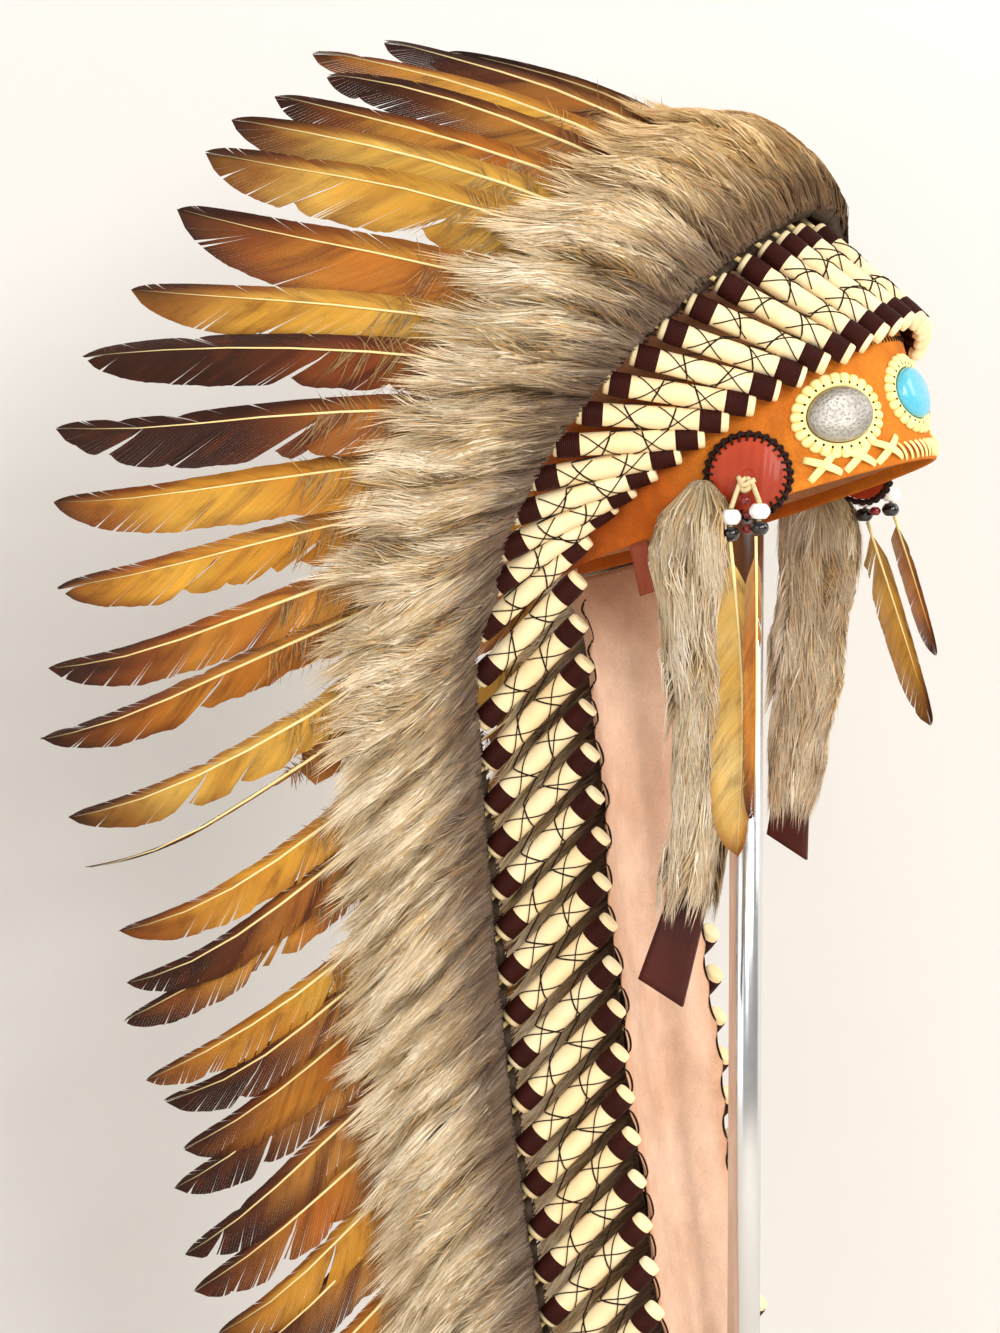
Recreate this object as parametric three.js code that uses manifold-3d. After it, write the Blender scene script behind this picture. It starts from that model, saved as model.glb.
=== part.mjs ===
// Feathered headdress on a plain display stand, in millimetres, +Z up.
// The floor is z = 0, the stand's tube is the Z axis and the wearer would face -Y.
// "Right" is the wearer's right, on the -X side. Left-hand pieces mirror it in X.
import * as THREE from "three";
import { mergeVertices } from "three/addons/utils/BufferGeometryUtils.js";
import Module from "manifold-3d";

const wasm = await Module();
wasm.setup();

const DEG = Math.PI / 180;
const GAP = 0.35; // between pieces that touch

// Head opening: the tilted ellipse that the brow band's lower edge follows.
const HEAD = { z: 694, tilt: 18.3 * DEG, halfLength: 98, halfWidth: 78 };
const BAND = { height: 66, wall: 2.5, steps: 36 };
const CAP = { wall: 2, rim: 6, shoulder: 42, crown: 112, power: 2.3, steps: 16 };

const STAND = { baseRadius: 170, baseHeight: 12, poleRadius: 8, restRadius: 42, restBottom: 770 };

// A quill rod lies along its own axis: `back` and `front` are its ends measured
// from the middle of its inner wrap, towards the feather.
const ROD = { count: 35, crownCount: 15, radius: 5.2, back: -8.5, front: 63.5, sides: 6 };
const CORD = { at: 27, radius: 1.3 };
const SPREAD = { at: 72, width: 3 }; // the thread strip through the quills, hidden in the fur
const CROWN_ROW = { first: 5, pitch: 7.6, standOff: 8.2, top: 70, fall: 1.9, curl: 0.125 };

const FEATHER = { quill: 1.5, width: 29, narrowVane: 0.4, thickness: 2, roll: 14 * DEG };
const FUR = { start: 64.5, clear: 6, outer: 17, inner: 8, valleyLength: 0.8, valleyHeight: 0.6 };

const SUEDE = { wall: 2, columns: 6, rows: 11 };

/** A short table: one row for each station, with named columns. */
function table(names, rows) {
  const keys = names.split(" ");
  return rows.map((row) => Object.fromEntries(keys.map((key, i) => [key, row[i]])));
}

// Inner wraps of the trailer rods, from the band's back down to the tail.
const TRAILER_SEAT = table("rod x y z", [
  [13, -82, 31, 712],
  [15, -76.5, 58.5, 681.5],
  [16, -71, 63, 662],
  [18, -64, 63, 621],
  [21, -62, 57, 559],
  [24, -62, 51, 497],
  [27, -62, 44, 435],
  [30, -62, 35, 374],
  [34, -62, 22, 290],
]);

// How the rods and feathers lean: lift above level, flare away from the middle,
// bend of the feather's chord against its rod, and the feather's length.
const LEAN = table("rod lift flare bend length", [
  [0, 38, 7, -15, 230],
  [3, 33, 16, -13, 234],
  [6, 19, 23, -8, 238],
  [9, 3, 23, -5, 238],
  [12, -18, 19, -1, 236],
  [15, -42, 14, 8, 230],
  [18, -46, 12, 8, 222],
  [22, -45, 12, 3, 212],
  [28, -46, 12, 0, 206],
  [34, -47, 12, 0, 200],
]);

// Hair length and thickness of the fur along the row.
const FUR_DEPTH = table("rod length bulk", [
  [0, 86, 1.25],
  [4, 84, 1.2],
  [9, 78, 1],
  [15, 84, 0.9],
  [22, 90, 0.95],
  [34, 88, 0.9],
]);

// The suede trailer from the band to the tail: `edge` is where its long edges
// lie front to back, `cup` is how far its middle stands behind them.
const TRAILER = table("z edge cup half", [
  [672, 64, 29, 57],
  [640, 59, 19, 55.5],
  [570, 53, 13, 55],
  [500, 46, 10, 55],
  [430, 38, 8, 55],
  [360, 28, 8, 55],
  [290, 17, 7, 55],
  [256, 12, 6, 54],
]);

// Hanging fur strips, from the band down, with their widths.
const FUR_DROP_RIGHT = table("x y z width", [
  [-85, -2, 710, 18],
  [-85, -6, 684, 32],
  [-85, -12, 640, 29],
  [-84, -14, 600, 25],
  [-84, -11, 560, 24],
  [-84, -5, 520, 20],
]);
const FUR_DROP_LEFT = table("x y z width", [
  [85, -2, 710, 18],
  [87, -4, 684, 34],
  [90, 0, 640, 31],
  [89, 4, 600, 27],
  [86, 8, 565, 23],
  [85, 10, 548, 19],
]);

// Colours, roughness and metalness of the finishes.
const FINISH = {
  steel: [0xc9ccd0, 0.25, 0.9],
  base: [0xb9bcc0, 0.45, 0.7],
  bandSuede: [0xe08a28, 0.85, 0],
  capSuede: [0xb86a38, 0.9, 0],
  trailerSuede: [0xe8bc98, 0.9, 0],
  rod: [0xf8ebc0, 0.6, 0],
  feather: [0xc8902c, 0.55, 0],
  fur: [0xa8957a, 0.95, 0],
  turquoise: [0x5fd5ee, 0.3, 0],
  silver: [0x9a948a, 0.4, 0.85],
  whipStitch: [0xfff3a8, 0.7, 0],
  rosette: [0xb83008, 0.25, 0],
  rosetteRim: [0x2a1410, 0.5, 0],
  lace: [0xf5e3b0, 0.8, 0],
  whiteBead: [0xfafafa, 0.25, 0],
  blackBead: [0x141414, 0.2, 0],
  redBead: [0x7a1410, 0.3, 0],
  darkLeather: [0x4a1c12, 0.5, 0],
  strap: [0x8c3a20, 0.7, 0],
};

// ---------------------------------------------------------------- geometry

/** Merges shared vertices, drops flat triangles and turns the faces outwards. */
function closed(geometry) {
  const bare = new THREE.BufferGeometry();
  bare.setAttribute("position", geometry.getAttribute("position"));
  if (geometry.index) bare.setIndex(geometry.index);
  const merged = mergeVertices(bare, 1e-3);
  const at = (i) => new THREE.Vector3().fromBufferAttribute(merged.attributes.position, i);
  const index = [];
  let volume = 0;
  for (let i = 0; i < merged.index.count; i += 3) {
    const [a, b, c] = [0, 1, 2].map((j) => merged.index.getX(i + j));
    if (a === b || b === c || c === a) continue;
    index.push(a, b, c);
    volume += at(a).dot(at(b).cross(at(c)));
  }
  if (volume < 0) index.reverse();
  merged.setIndex(index);
  return merged;
}

/** Skins a row of outlines with equal counts. Open rows get end caps, a ring joins up. */
function loft(outlines, ring = false) {
  const n = outlines[0].length;
  const rows = outlines.length;
  const index = [];
  const quad = (a, b, c, d) => index.push(a, b, c, a, c, d);
  for (let r = 0; r < (ring ? rows : rows - 1); r++) {
    const next = (r + 1) % rows;
    for (let i = 0; i < n; i++) {
      const j = (i + 1) % n;
      quad(r * n + i, r * n + j, next * n + j, next * n + i);
    }
  }
  for (let i = 1; !ring && i < n - 1; i++) {
    index.push(0, i + 1, i);
    const last = (rows - 1) * n;
    index.push(last, last + i, last + i + 1);
  }
  const points = outlines.flat().flatMap((p) => [p.x, p.y, p.z]);
  const geometry = new THREE.BufferGeometry();
  geometry.setAttribute("position", new THREE.Float32BufferAttribute(points, 3));
  geometry.setIndex(index);
  return closed(geometry);
}

/** A closed geometry as a manifold solid. */
function solid(geometry) {
  const merged = closed(geometry);
  return new wasm.Manifold(
    new wasm.Mesh({
      numProp: 3,
      vertProperties: new Float32Array(merged.attributes.position.array),
      triVerts: new Uint32Array(merged.index.array),
    }),
  );
}

/** A manifold solid back as a geometry. */
function shape(manifold) {
  const mesh = manifold.getMesh();
  const geometry = new THREE.BufferGeometry();
  geometry.setAttribute("position", new THREE.Float32BufferAttribute(mesh.vertProperties, 3));
  geometry.setIndex(Array.from(mesh.triVerts));
  return geometry;
}

/** Joins overlapping closed geometries into one. */
function fuse(pieces) {
  return shape(pieces.map(solid).reduce((sum, piece) => sum.add(piece)));
}

/** The part of a geometry on the wearer's right of the middle, clear of it by half a gap. */
function rightHalf(geometry) {
  const size = 2000;
  const box = new THREE.BoxGeometry(size, size, 2 * size).translate(-size / 2 - GAP / 2, 0, 0);
  return shape(solid(geometry).intersect(solid(box)));
}

/** The mirror image in X. */
function mirrored(geometry) {
  const copy = geometry.clone().applyMatrix4(new THREE.Matrix4().makeScale(-1, 1, 1));
  return closed(copy);
}

/** A three.js lathe turned about Z, from a profile of [radius, height] pairs. */
function turned(profile, steps) {
  const points = profile.map(([radius, height]) => new THREE.Vector2(radius, height));
  return new THREE.LatheGeometry(points, steps).rotateX(Math.PI / 2);
}

/** One column of a table at any station, smooth between its rows and straight past its ends. */
function along(rows, key, column, at) {
  const last = rows.length - 1;
  const sense = Math.sign(rows[last][key] - rows[0][key]);
  const i = rows.slice(1, last).filter((row) => sense * (at - row[key]) > 0).length;
  const slope = (a, b) => (rows[b][column] - rows[a][column]) / (rows[b][key] - rows[a][key]);
  const span = rows[i + 1][key] - rows[i][key];
  const t = (at - rows[i][key]) / span;
  const a = rows[i][column];
  const b = rows[i + 1][column];
  if (t < 0) return a + slope(i, i + 1) * t * span;
  if (t > 1) return b + slope(i, i + 1) * (t - 1) * span;
  const before = i > 0 ? slope(i - 1, i + 1) : slope(i, i + 1);
  const after = i + 2 <= last ? slope(i, i + 2) : slope(i, i + 1);
  const t2 = t * t;
  const t3 = t2 * t;
  return (
    a * (2 * t3 - 3 * t2 + 1) +
    b * (3 * t2 - 2 * t3) +
    span * (before * (t3 - 2 * t2 + t) + after * (t3 - t2))
  );
}

// ------------------------------------------------------------ head and band

const FORWARD = new THREE.Vector3(0, -Math.cos(HEAD.tilt), Math.sin(HEAD.tilt));
const UPRIGHT = new THREE.Vector3(0, Math.sin(HEAD.tilt), Math.cos(HEAD.tilt));
const SIDE = new THREE.Vector3(-1, 0, 0);

/** A point by the band: `turn` from the middle of the brow towards the right ear,
 *  `height` above the lower edge, `out` from the band's outer face. */
function onHead(turn, height, out) {
  const ahead = (HEAD.halfLength + out) * Math.cos(turn);
  const across = (HEAD.halfWidth + out) * Math.sin(turn);
  return new THREE.Vector3(0, 0, HEAD.z)
    .addScaledVector(FORWARD, ahead)
    .addScaledVector(SIDE, across)
    .addScaledVector(UPRIGHT, height);
}

/** Bends a flat shape (x along the band, y up, z outwards) round the band. */
function roundBand(geometry, turn, height, out) {
  const reach = Math.hypot(HEAD.halfLength * Math.sin(turn), HEAD.halfWidth * Math.cos(turn));
  const copy = closed(geometry);
  const position = copy.attributes.position;
  for (let i = 0; i < position.count; i++) {
    const p = onHead(turn + position.getX(i) / reach, height + position.getY(i), out + position.getZ(i));
    position.setXYZ(i, p.x, p.y, p.z);
  }
  return closed(copy);
}

function browBand() {
  const outlines = [];
  for (let i = 0; i < BAND.steps; i++) {
    const turn = (i / BAND.steps) * 2 * Math.PI;
    outlines.push([
      onHead(turn, 0, 0),
      onHead(turn, BAND.height, 0),
      onHead(turn, BAND.height, -BAND.wall),
      onHead(turn, 0, -BAND.wall),
    ]);
  }
  return loft(outlines, true);
}

/** Height of the cap's dome at a share of its radius, `inset` inside the outer face. */
function domeHeight(share, inset) {
  const rise = CAP.crown - CAP.shoulder - inset;
  return CAP.shoulder + rise * (1 - share ** CAP.power) ** (1 / CAP.power);
}

const DOME_SHARES = [0, 0.34, 0.62, 0.84, 0.96, 1];

/** Stands a unit lathe of [share, height] pairs on the head's ellipse, tilted. */
function onEllipse(profile, steps, inset) {
  const place = new THREE.Matrix4().makeBasis(
    SIDE.clone().multiplyScalar(-(HEAD.halfWidth - inset)),
    FORWARD.clone().multiplyScalar(-(HEAD.halfLength - inset)),
    UPRIGHT,
  );
  place.setPosition(0, 0, HEAD.z);
  return closed(turned(profile, steps).applyMatrix4(place));
}

function crownCap() {
  const inset = BAND.wall + GAP;
  const inner = 1 - CAP.wall / HEAD.halfWidth;
  const profile = [
    ...DOME_SHARES.map((share) => [share, domeHeight(share, 0)]),
    [1, CAP.rim],
    [inner, CAP.rim],
    ...DOME_SHARES.toReversed().map((share) => [share * inner, domeHeight(share, CAP.wall)]),
  ];
  return onEllipse(profile, CAP.steps, inset);
}

// -------------------------------------------------------------------- stand

function standBase() {
  const { baseRadius: radius, baseHeight: height } = STAND;
  const chamfer = 3;
  return turned(
    [[0, 0], [radius, 0], [radius, height - chamfer], [radius - chamfer, height], [0, height]],
    32,
  );
}

function standPole() {
  const bottom = STAND.baseHeight + GAP;
  const height = STAND.restBottom - GAP - bottom;
  return new THREE.CylinderGeometry(STAND.poleRadius, STAND.poleRadius, height, 16)
    .rotateX(Math.PI / 2)
    .translate(0, 0, bottom + height / 2);
}

/** A plug with a flat foot, domed to fill the cap's top. */
function standHeadRest() {
  const inset = BAND.wall + CAP.wall + 2 * GAP;
  const profile = DOME_SHARES.map((share) => [share, domeHeight(share, CAP.wall + 2 * GAP)]);
  const filling = onEllipse([...profile, [0, CAP.shoulder]], CAP.steps, inset);
  const height = 120;
  const core = new THREE.CylinderGeometry(STAND.restRadius, STAND.restRadius, height, 20)
    .rotateX(Math.PI / 2)
    .translate(0, 0, STAND.restBottom + height / 2);
  return shape(solid(filling).intersect(solid(core)));
}

// ---------------------------------------------------------- rods and feathers

/** Middle of a rod's inner wrap, on the right-hand side. */
function seat(rod) {
  const { first, pitch, standOff, top, fall, curl } = CROWN_ROW;
  if (rod <= ROD.crownCount - 1)
    return onHead((first + pitch * rod) * DEG, top - fall * rod - curl * rod * rod, standOff);
  return new THREE.Vector3(...["x", "y", "z"].map((axis) => along(TRAILER_SEAT, "rod", axis, rod)));
}

const lean = (rod, column) => along(LEAN, "rod", column, rod);

/** Unit direction at a lift above level, flared away from the middle. */
function heading(rod, lift) {
  const flare = lean(rod, "flare") * DEG;
  const level = Math.cos(lift);
  return new THREE.Vector3(-Math.sin(flare) * level, Math.cos(flare) * level, Math.sin(lift));
}

/** A point on a rod or its feather, `s` from the middle of the inner wrap. */
function quillPoint(rod, s) {
  const lift = lean(rod, "lift") * DEG;
  const point = seat(rod).addScaledVector(heading(rod, lift), Math.min(s, ROD.front));
  const past = s - ROD.front;
  if (past <= 0) return point;
  const turn = (2 * lean(rod, "bend") * DEG) / lean(rod, "length");
  const steps = 4;
  for (let i = 0; i < steps; i++)
    point.addScaledVector(heading(rod, lift + (turn * past * (i + 0.5)) / steps), past / steps);
  return point;
}

/** Axes at a point of the row: along the quill, across the row, and outwards. */
function quillAxes(rod, s) {
  const forward = quillPoint(rod, s + 1).sub(quillPoint(rod, s - 1)).normalize();
  const rowwards = quillPoint(rod + 0.5, s).sub(quillPoint(rod - 0.5, s));
  const outward = forward.clone().cross(rowwards).normalize();
  const across = outward.clone().cross(forward);
  return { forward, across, outward, pitch: rowwards.dot(across) };
}

/** A point set off from a quill, across the row and outwards. */
function offQuill(rod, s, sideways, outwards) {
  const { across, outward } = quillAxes(rod, s);
  return quillPoint(rod, s).addScaledVector(across, sideways).addScaledVector(outward, outwards);
}

function quillRod(rod) {
  const outlines = [ROD.back, ROD.front].map((s) => {
    const circle = [];
    for (let i = 0; i < ROD.sides; i++) {
      const angle = ((i + 0.5) / ROD.sides) * 2 * Math.PI;
      circle.push(offQuill(rod, s, ROD.radius * Math.cos(angle), ROD.radius * Math.sin(angle)));
    }
    return circle;
  });
  return loft(outlines);
}

/** The three-sided cord from one rod's middle to the next, which ties the row together. */
function cordBetween(rod) {
  const [a, b] = [quillPoint(rod, CORD.at), quillPoint(rod + 1, CORD.at)];
  const away = b.clone().sub(a);
  const turn = new THREE.Quaternion().setFromUnitVectors(new THREE.Vector3(0, 1, 0), away.clone().normalize());
  return new THREE.CylinderGeometry(CORD.radius, CORD.radius, away.length(), 3)
    .applyQuaternion(turn)
    .translate(...a.add(b).multiplyScalar(0.5).toArray());
}

function rodRow(from, to) {
  const pieces = [];
  for (let rod = from; rod <= to; rod++) pieces.push(quillRod(rod));
  for (let rod = from; rod < to; rod++) pieces.push(cordBetween(rod));
  return fuse(pieces);
}

// A feather's sections from quill to tip: share of its length, of its width and of its thickness.
const FEATHER_SECTIONS = table("at width thickness", [
  [0.2, 0.86, 0.8],
  [0.52, 1, 0.7],
  [0.82, 0.68, 0.6],
  [1, 0.07, 0.4],
]);

const QUILL_CORNERS = [[-1, 1], [-1, -1], [1, -1], [1, 1]];

/** Outlines of a leaf from its quill to its tip: narrow vane first, rolled about the rachis. */
function bladeOutlines(place, width, roll) {
  return FEATHER_SECTIONS.map(({ at, width: share, thickness }) => {
    const wide = width * share;
    const thick = (FEATHER.thickness * thickness) / 2;
    const narrow = -wide * FEATHER.narrowVane;
    const broad = wide + narrow;
    const corners = [[narrow, thick], [narrow, -thick], [broad, -thick], [broad, thick]];
    return corners.map(([u, v]) =>
      place(at, u * Math.cos(roll) - v * Math.sin(roll), u * Math.sin(roll) + v * Math.cos(roll)),
    );
  });
}

/** One side's feathers: quills and blades that grow out of the thread strip between them. */
function featherRow() {
  const quill = FEATHER.quill;
  const near = SPREAD.at;
  const far = SPREAD.at + SPREAD.width;
  const points = [];
  const index = [];
  const ringOf = (corners) => corners.map((p) => points.push(p) - 1);
  const quad = (a, b, c, d) => index.push(a, b, c, a, c, d);
  const skin = (a, b) => {
    for (let i = 0; i < 4; i++) quad(a[i], a[(i + 1) % 4], b[(i + 1) % 4], b[i]);
  };
  let previous = null;
  for (let rod = 0; rod < ROD.count; rod++) {
    const half = quill / quillAxes(rod, near).pitch;
    const [before, after] = [rod - half, rod + half].map((station) =>
      ringOf([
        offQuill(station, near, 0, -quill),
        offQuill(station, near, 0, quill),
        offQuill(station, far, 0, quill),
        offQuill(station, far, 0, -quill),
      ]),
    );
    if (previous) skin(previous, before);
    else quad(...before.toReversed());
    quad(before[1], before[2], after[2], after[1]);
    quad(before[3], before[0], after[0], after[3]);

    const stub = ringOf(QUILL_CORNERS.map(([u, v]) => offQuill(rod, ROD.front + GAP, u * quill, v * quill)));
    quad(...stub.toReversed());
    skin(stub, [before[1], before[0], after[0], after[1]]);

    const length = lean(rod, "length") * (1 + 0.03 * Math.sin(5 * rod));
    const width = FEATHER.width * (1 + 0.06 * Math.sin(3 * rod));
    const place = (at, u, v) => offQuill(rod, ROD.front + at * length, u, v);
    let ring = [before[2], before[3], after[3], after[2]];
    for (const outline of bladeOutlines(place, width, FEATHER.roll)) {
      const next = ringOf(outline);
      skin(ring, next);
      ring = next;
    }
    quad(...ring);
    previous = after;
  }
  quad(...previous);
  const geometry = new THREE.BufferGeometry();
  const flat = points.flatMap((p) => [p.x, p.y, p.z]);
  geometry.setAttribute("position", new THREE.Float32BufferAttribute(flat, 3));
  geometry.setIndex(index);
  return closed(geometry);
}

// A lock of fur in section, along its hair: share of its length and of its height.
const LOCK_SECTION = table("at height", [
  [0, 0],
  [0, 0.45],
  [0.4, 1],
  [0.78, 0.8],
  [1, 0.12],
  [0.6, 0],
]);

/** Fur along one face of the row, 1 for the outer and -1 for the inner: an outline at
 *  each lock's crest and one in each valley, fused side by side. */
function furRow(face) {
  const stride = face > 0 ? 1 : 2;
  const outlines = [];
  for (let i = -1; i <= (2 * ROD.count - 1) / stride; i++) {
    const rod = (i * stride) / 2;
    const valley = Math.abs(i % 2) === 1;
    const reach =
      along(FUR_DEPTH, "rod", "length", rod) *
      (valley ? FUR.valleyLength : 1 + 0.08 * Math.sin(4.3 * rod + face));
    const high =
      (face > 0 ? FUR.outer : FUR.inner) *
      along(FUR_DEPTH, "rod", "bulk", rod) *
      (valley ? FUR.valleyHeight : 1 + 0.12 * Math.sin(2.9 * rod));
    outlines.push(
      LOCK_SECTION.map(({ at, height }) =>
        offQuill(rod, FUR.start + at * reach, 0, face * (FUR.clear + high * height)),
      ),
    );
  }
  return rightHalf(loft(outlines));
}

// ------------------------------------------------------------------ trailer

function trailerPanel() {
  const top = TRAILER[0].z;
  const tail = TRAILER.at(-1).z;
  const outlines = [];
  for (let r = 0; r <= SUEDE.rows; r++) {
    const share = r / SUEDE.rows;
    const z = top + (tail - top) * share;
    const [edge, cup, half] = ["edge", "cup", "half"].map((column) => along(TRAILER, "z", column, z));
    const dip = 10.2 * Math.max(0, 1 - 5 * share);
    const ripple = 1.6 * Math.sin(9 * Math.PI * share) * Math.min(1, 6 * share);
    const front = [];
    const back = [];
    for (let c = 0; c <= SUEDE.columns; c++) {
      const x = (2 * c) / SUEDE.columns - 1;
      const y = edge + cup * (1 - x * x) + ripple * x * Math.abs(x);
      const height = z - GAP - dip * (1 - x * x);
      front.push(new THREE.Vector3(x * half, y - SUEDE.wall / 2, height));
      back.unshift(new THREE.Vector3(x * half, y + SUEDE.wall / 2, height));
    }
    outlines.push([...front, ...back]);
  }
  return stripCapped(outlines);
}

/** Skins thin strip outlines whose ends are not convex: each end is closed by quads
 *  between its front and back points. */
function stripCapped(outlines) {
  const n = outlines[0].length;
  const rows = outlines.length;
  const index = [];
  for (let r = 0; r < rows - 1; r++)
    for (let i = 0; i < n; i++) {
      const j = (i + 1) % n;
      index.push(r * n + i, r * n + j, (r + 1) * n + j, r * n + i, (r + 1) * n + j, (r + 1) * n + i);
    }
  for (const [row, flip] of [[0, true], [rows - 1, false]])
    for (let i = 0; i < n / 2 - 1; i++) {
      const [a, b, c, d] = [i, i + 1, n - 2 - i, n - 1 - i].map((k) => row * n + k);
      index.push(...(flip ? [a, c, b, a, d, c] : [a, b, c, a, c, d]));
    }
  const geometry = new THREE.BufferGeometry();
  const points = outlines.flat().flatMap((p) => [p.x, p.y, p.z]);
  geometry.setAttribute("position", new THREE.Float32BufferAttribute(points, 3));
  geometry.setIndex(index);
  return closed(geometry);
}

// --------------------------------------------------- stones and rosettes

const FRONT_STONE = { turn: 0, height: 32, halfWide: 15.5, halfHigh: 12.5 };
const SIDE_STONE = { turn: 37 * DEG, height: 29, halfWide: 16.5, halfHigh: 13 };
const SURROUND = { margin: 7, thickness: 2.2, scallops: 13, depth: 1.3 };
const ROSETTE = { turn: 68.5 * DEG, height: 13.5, radius: 18, rim: 20.8, thickness: 3, scallops: 11 };
const SEATED = 0.6; // from the band to the foot of what is sewn on it

/** A flat ring round an oval, `steps` corners round, whose outer edge is scalloped. */
function scallopedRing(inner, outer, depth, scallops, low, high) {
  const outlines = [];
  const steps = 2 * scallops;
  for (let i = 0; i < steps; i++) {
    const angle = (i / steps) * 2 * Math.PI;
    const cut = (i % 2) * depth;
    const at = ([wide, tall], less, z) =>
      new THREE.Vector3((wide - less) * Math.cos(angle), (tall - less) * Math.sin(angle), z);
    outlines.push([at(inner, 0, 0), at(outer, cut, 0), at(outer, cut, low), at(inner, 0, high)]);
  }
  return loft(outlines, true);
}

function surroundPlate({ turn, height, halfWide, halfHigh }) {
  const { margin, thickness, scallops, depth } = SURROUND;
  const inner = [halfWide + GAP, halfHigh + GAP];
  const outer = [halfWide + margin, halfHigh + margin];
  const ring = scallopedRing(inner, outer, depth, scallops, thickness * 0.7, thickness);
  return roundBand(ring, turn, height, GAP);
}

/** A domed oval stone in its surround. */
function ovalStone({ turn, height, halfWide, halfHigh }) {
  const profile = [[0, 0], [1, 0], [1, 3], [0.8, 5.2], [0, 6.8]];
  return roundBand(turned(profile, 16).scale(halfWide, halfHigh, 1), turn, height, SEATED);
}

function rosette() {
  const { radius, thickness, turn, height } = ROSETTE;
  const profile = [[0, 0], [radius, 0], [radius, thickness], [0, thickness + 1.2]];
  return roundBand(turned(profile, 20), turn, height, SEATED);
}

/** The whip-stitched rim round a rosette. */
function rosetteRim() {
  const { radius, rim, thickness, turn, height, scallops } = ROSETTE;
  const inner = [radius + GAP, radius + GAP];
  const ring = scallopedRing(inner, [rim, rim], 0.9, scallops, thickness, thickness + 0.8);
  return roundBand(ring, turn, height, GAP);
}

// ---------------------------------------------------------- beads and drops

// Bead strings below the rosette, as offsets from its middle: along the band
// (forwards is negative), down, and the strings' distance from the band.
const BEADS = table("name along drop size out", [
  ["white_rear", 2.5, 18.5, 5, 15.5],
  ["white_front", -11.5, 15.5, 5, 14.5],
  ["black_rear", 2.7, 26.2, 4.4, 15.5],
  ["black_front", -11.5, 23.2, 4.4, 14.5],
  ["red_rear", -3.2, 10.5, 2.8, 12],
  ["red_middle", -4.4, 17.5, 2.4, 10.8],
  ["red_front", -4.5, 24, 2.8, 11.5],
]);

const rosetteMiddle = () => onHead(ROSETTE.turn, ROSETTE.height, 0);

/** A place near the right-hand rosette. */
function byRosette(alongBand, drop, out) {
  return rosetteMiddle().add(new THREE.Vector3(-out, alongBand, -drop));
}

function bead({ along: offset, drop, size, out }) {
  const half = size * 0.72;
  const centre = byRosette(offset, drop, out);
  const profile = [[0, -half], [size, -half * 0.5], [size, half * 0.5], [0, half]];
  return turned(profile, 8).translate(centre.x, centre.y, centre.z);
}

/** The lace that comes out of the rosette and carries both bead strings. */
function beadLace() {
  const [rear, front] = BEADS;
  const top = (b) => byRosette(b.along, b.drop - b.size * 0.72 - 1.2 - GAP, b.out);
  const knot = (offset, drop) => byRosette(offset, drop, 10.5);
  const path = new THREE.CatmullRomCurve3([top(rear), knot(0, 6), knot(-4, 7.5), knot(-8, 5.5), top(front)]);
  const section = new THREE.Shape();
  const sides = 6;
  for (let i = 0; i < sides; i++) {
    const angle = (i / sides) * 2 * Math.PI;
    section[i ? "lineTo" : "moveTo"](1.2 * Math.cos(angle), 1.2 * Math.sin(angle));
  }
  return new THREE.ExtrudeGeometry(section, { steps: 6, extrudePath: path, bevelEnabled: false });
}

// Drop feathers: top end under its string, length, width, and where the tip swings.
const DROP_FEATHERS = table("side name along drop length width swing edgeOn", [
  ["right", "rear", 2.7, 29.8, 147, 22, 1, 0],
  ["right", "front", -11.5, 26.8, 137, 17, 3, 1.2],
  ["left", "rear", 2.7, 29.8, 101, 18, -34, 0.2],
  ["left", "front", -11.5, 26.8, 69, 13, -22, 0.5],
]);

function dropFeather({ along: offset, drop, length, width, swing, edgeOn }) {
  const top = byRosette(offset, drop, 17.5);
  const tip = new THREE.Vector3(-3, swing, -length).add(top);
  const across = new THREE.Vector3(-Math.sin(edgeOn), Math.cos(edgeOn), 0);
  const outward = new THREE.Vector3(-Math.cos(edgeOn), -Math.sin(edgeOn), 0);
  const place = (at, u, v) =>
    top.clone().lerp(tip, at).addScaledVector(across, u).addScaledVector(outward, v + 3 * at * (1 - at));
  const quill = QUILL_CORNERS.map(([u, v]) => place(0, u, v));
  return loft([quill, ...bladeOutlines(place, width, 0)]);
}

/** A hanging strip of fur: a flattened core with shaggy edges. */
function furDrop(rows) {
  const sides = 7;
  const steps = 8;
  const outlines = [];
  for (let r = 0; r <= steps; r++) {
    const z = rows[0].z + ((rows.at(-1).z - rows[0].z) * r) / steps;
    const [x, y, width] = ["x", "y", "width"].map((column) => along(rows, "z", column, z));
    const shag = 1 + 0.1 * (r % 2 ? 1 : -1);
    outlines.push(
      Array.from({ length: sides }, (_, i) => {
        const angle = ((i + 0.5 * (r % 2)) / sides) * 2 * Math.PI;
        const bump = shag * (i % 2 ? 0.9 : 1.06);
        const thick = Math.min(6, width * 0.27);
        return new THREE.Vector3(x + thick * bump * Math.cos(angle), y + (width / 2) * bump * Math.sin(angle), z);
      }),
    );
  }
  return loft(outlines);
}

/** The flat leather end of a fur strip, cut on a slant. */
function furDropEnd(rows, swing, length) {
  const { x, y, z, width } = rows.at(-1);
  const outlines = [0, 0.4, 0.75, 1].map((share) => {
    const half = (width / 2) * (1 + 0.12 * share);
    const middle = y + swing * share;
    const height = z - GAP - length * share;
    const slant = 6 * share;
    return [
      new THREE.Vector3(x - 1.5, middle - half, height - slant),
      new THREE.Vector3(x + 1.5, middle - half, height - slant),
      new THREE.Vector3(x + 1.5, middle + half, height + slant),
      new THREE.Vector3(x - 1.5, middle + half, height + slant),
    ];
  });
  return loft(outlines);
}

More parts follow.
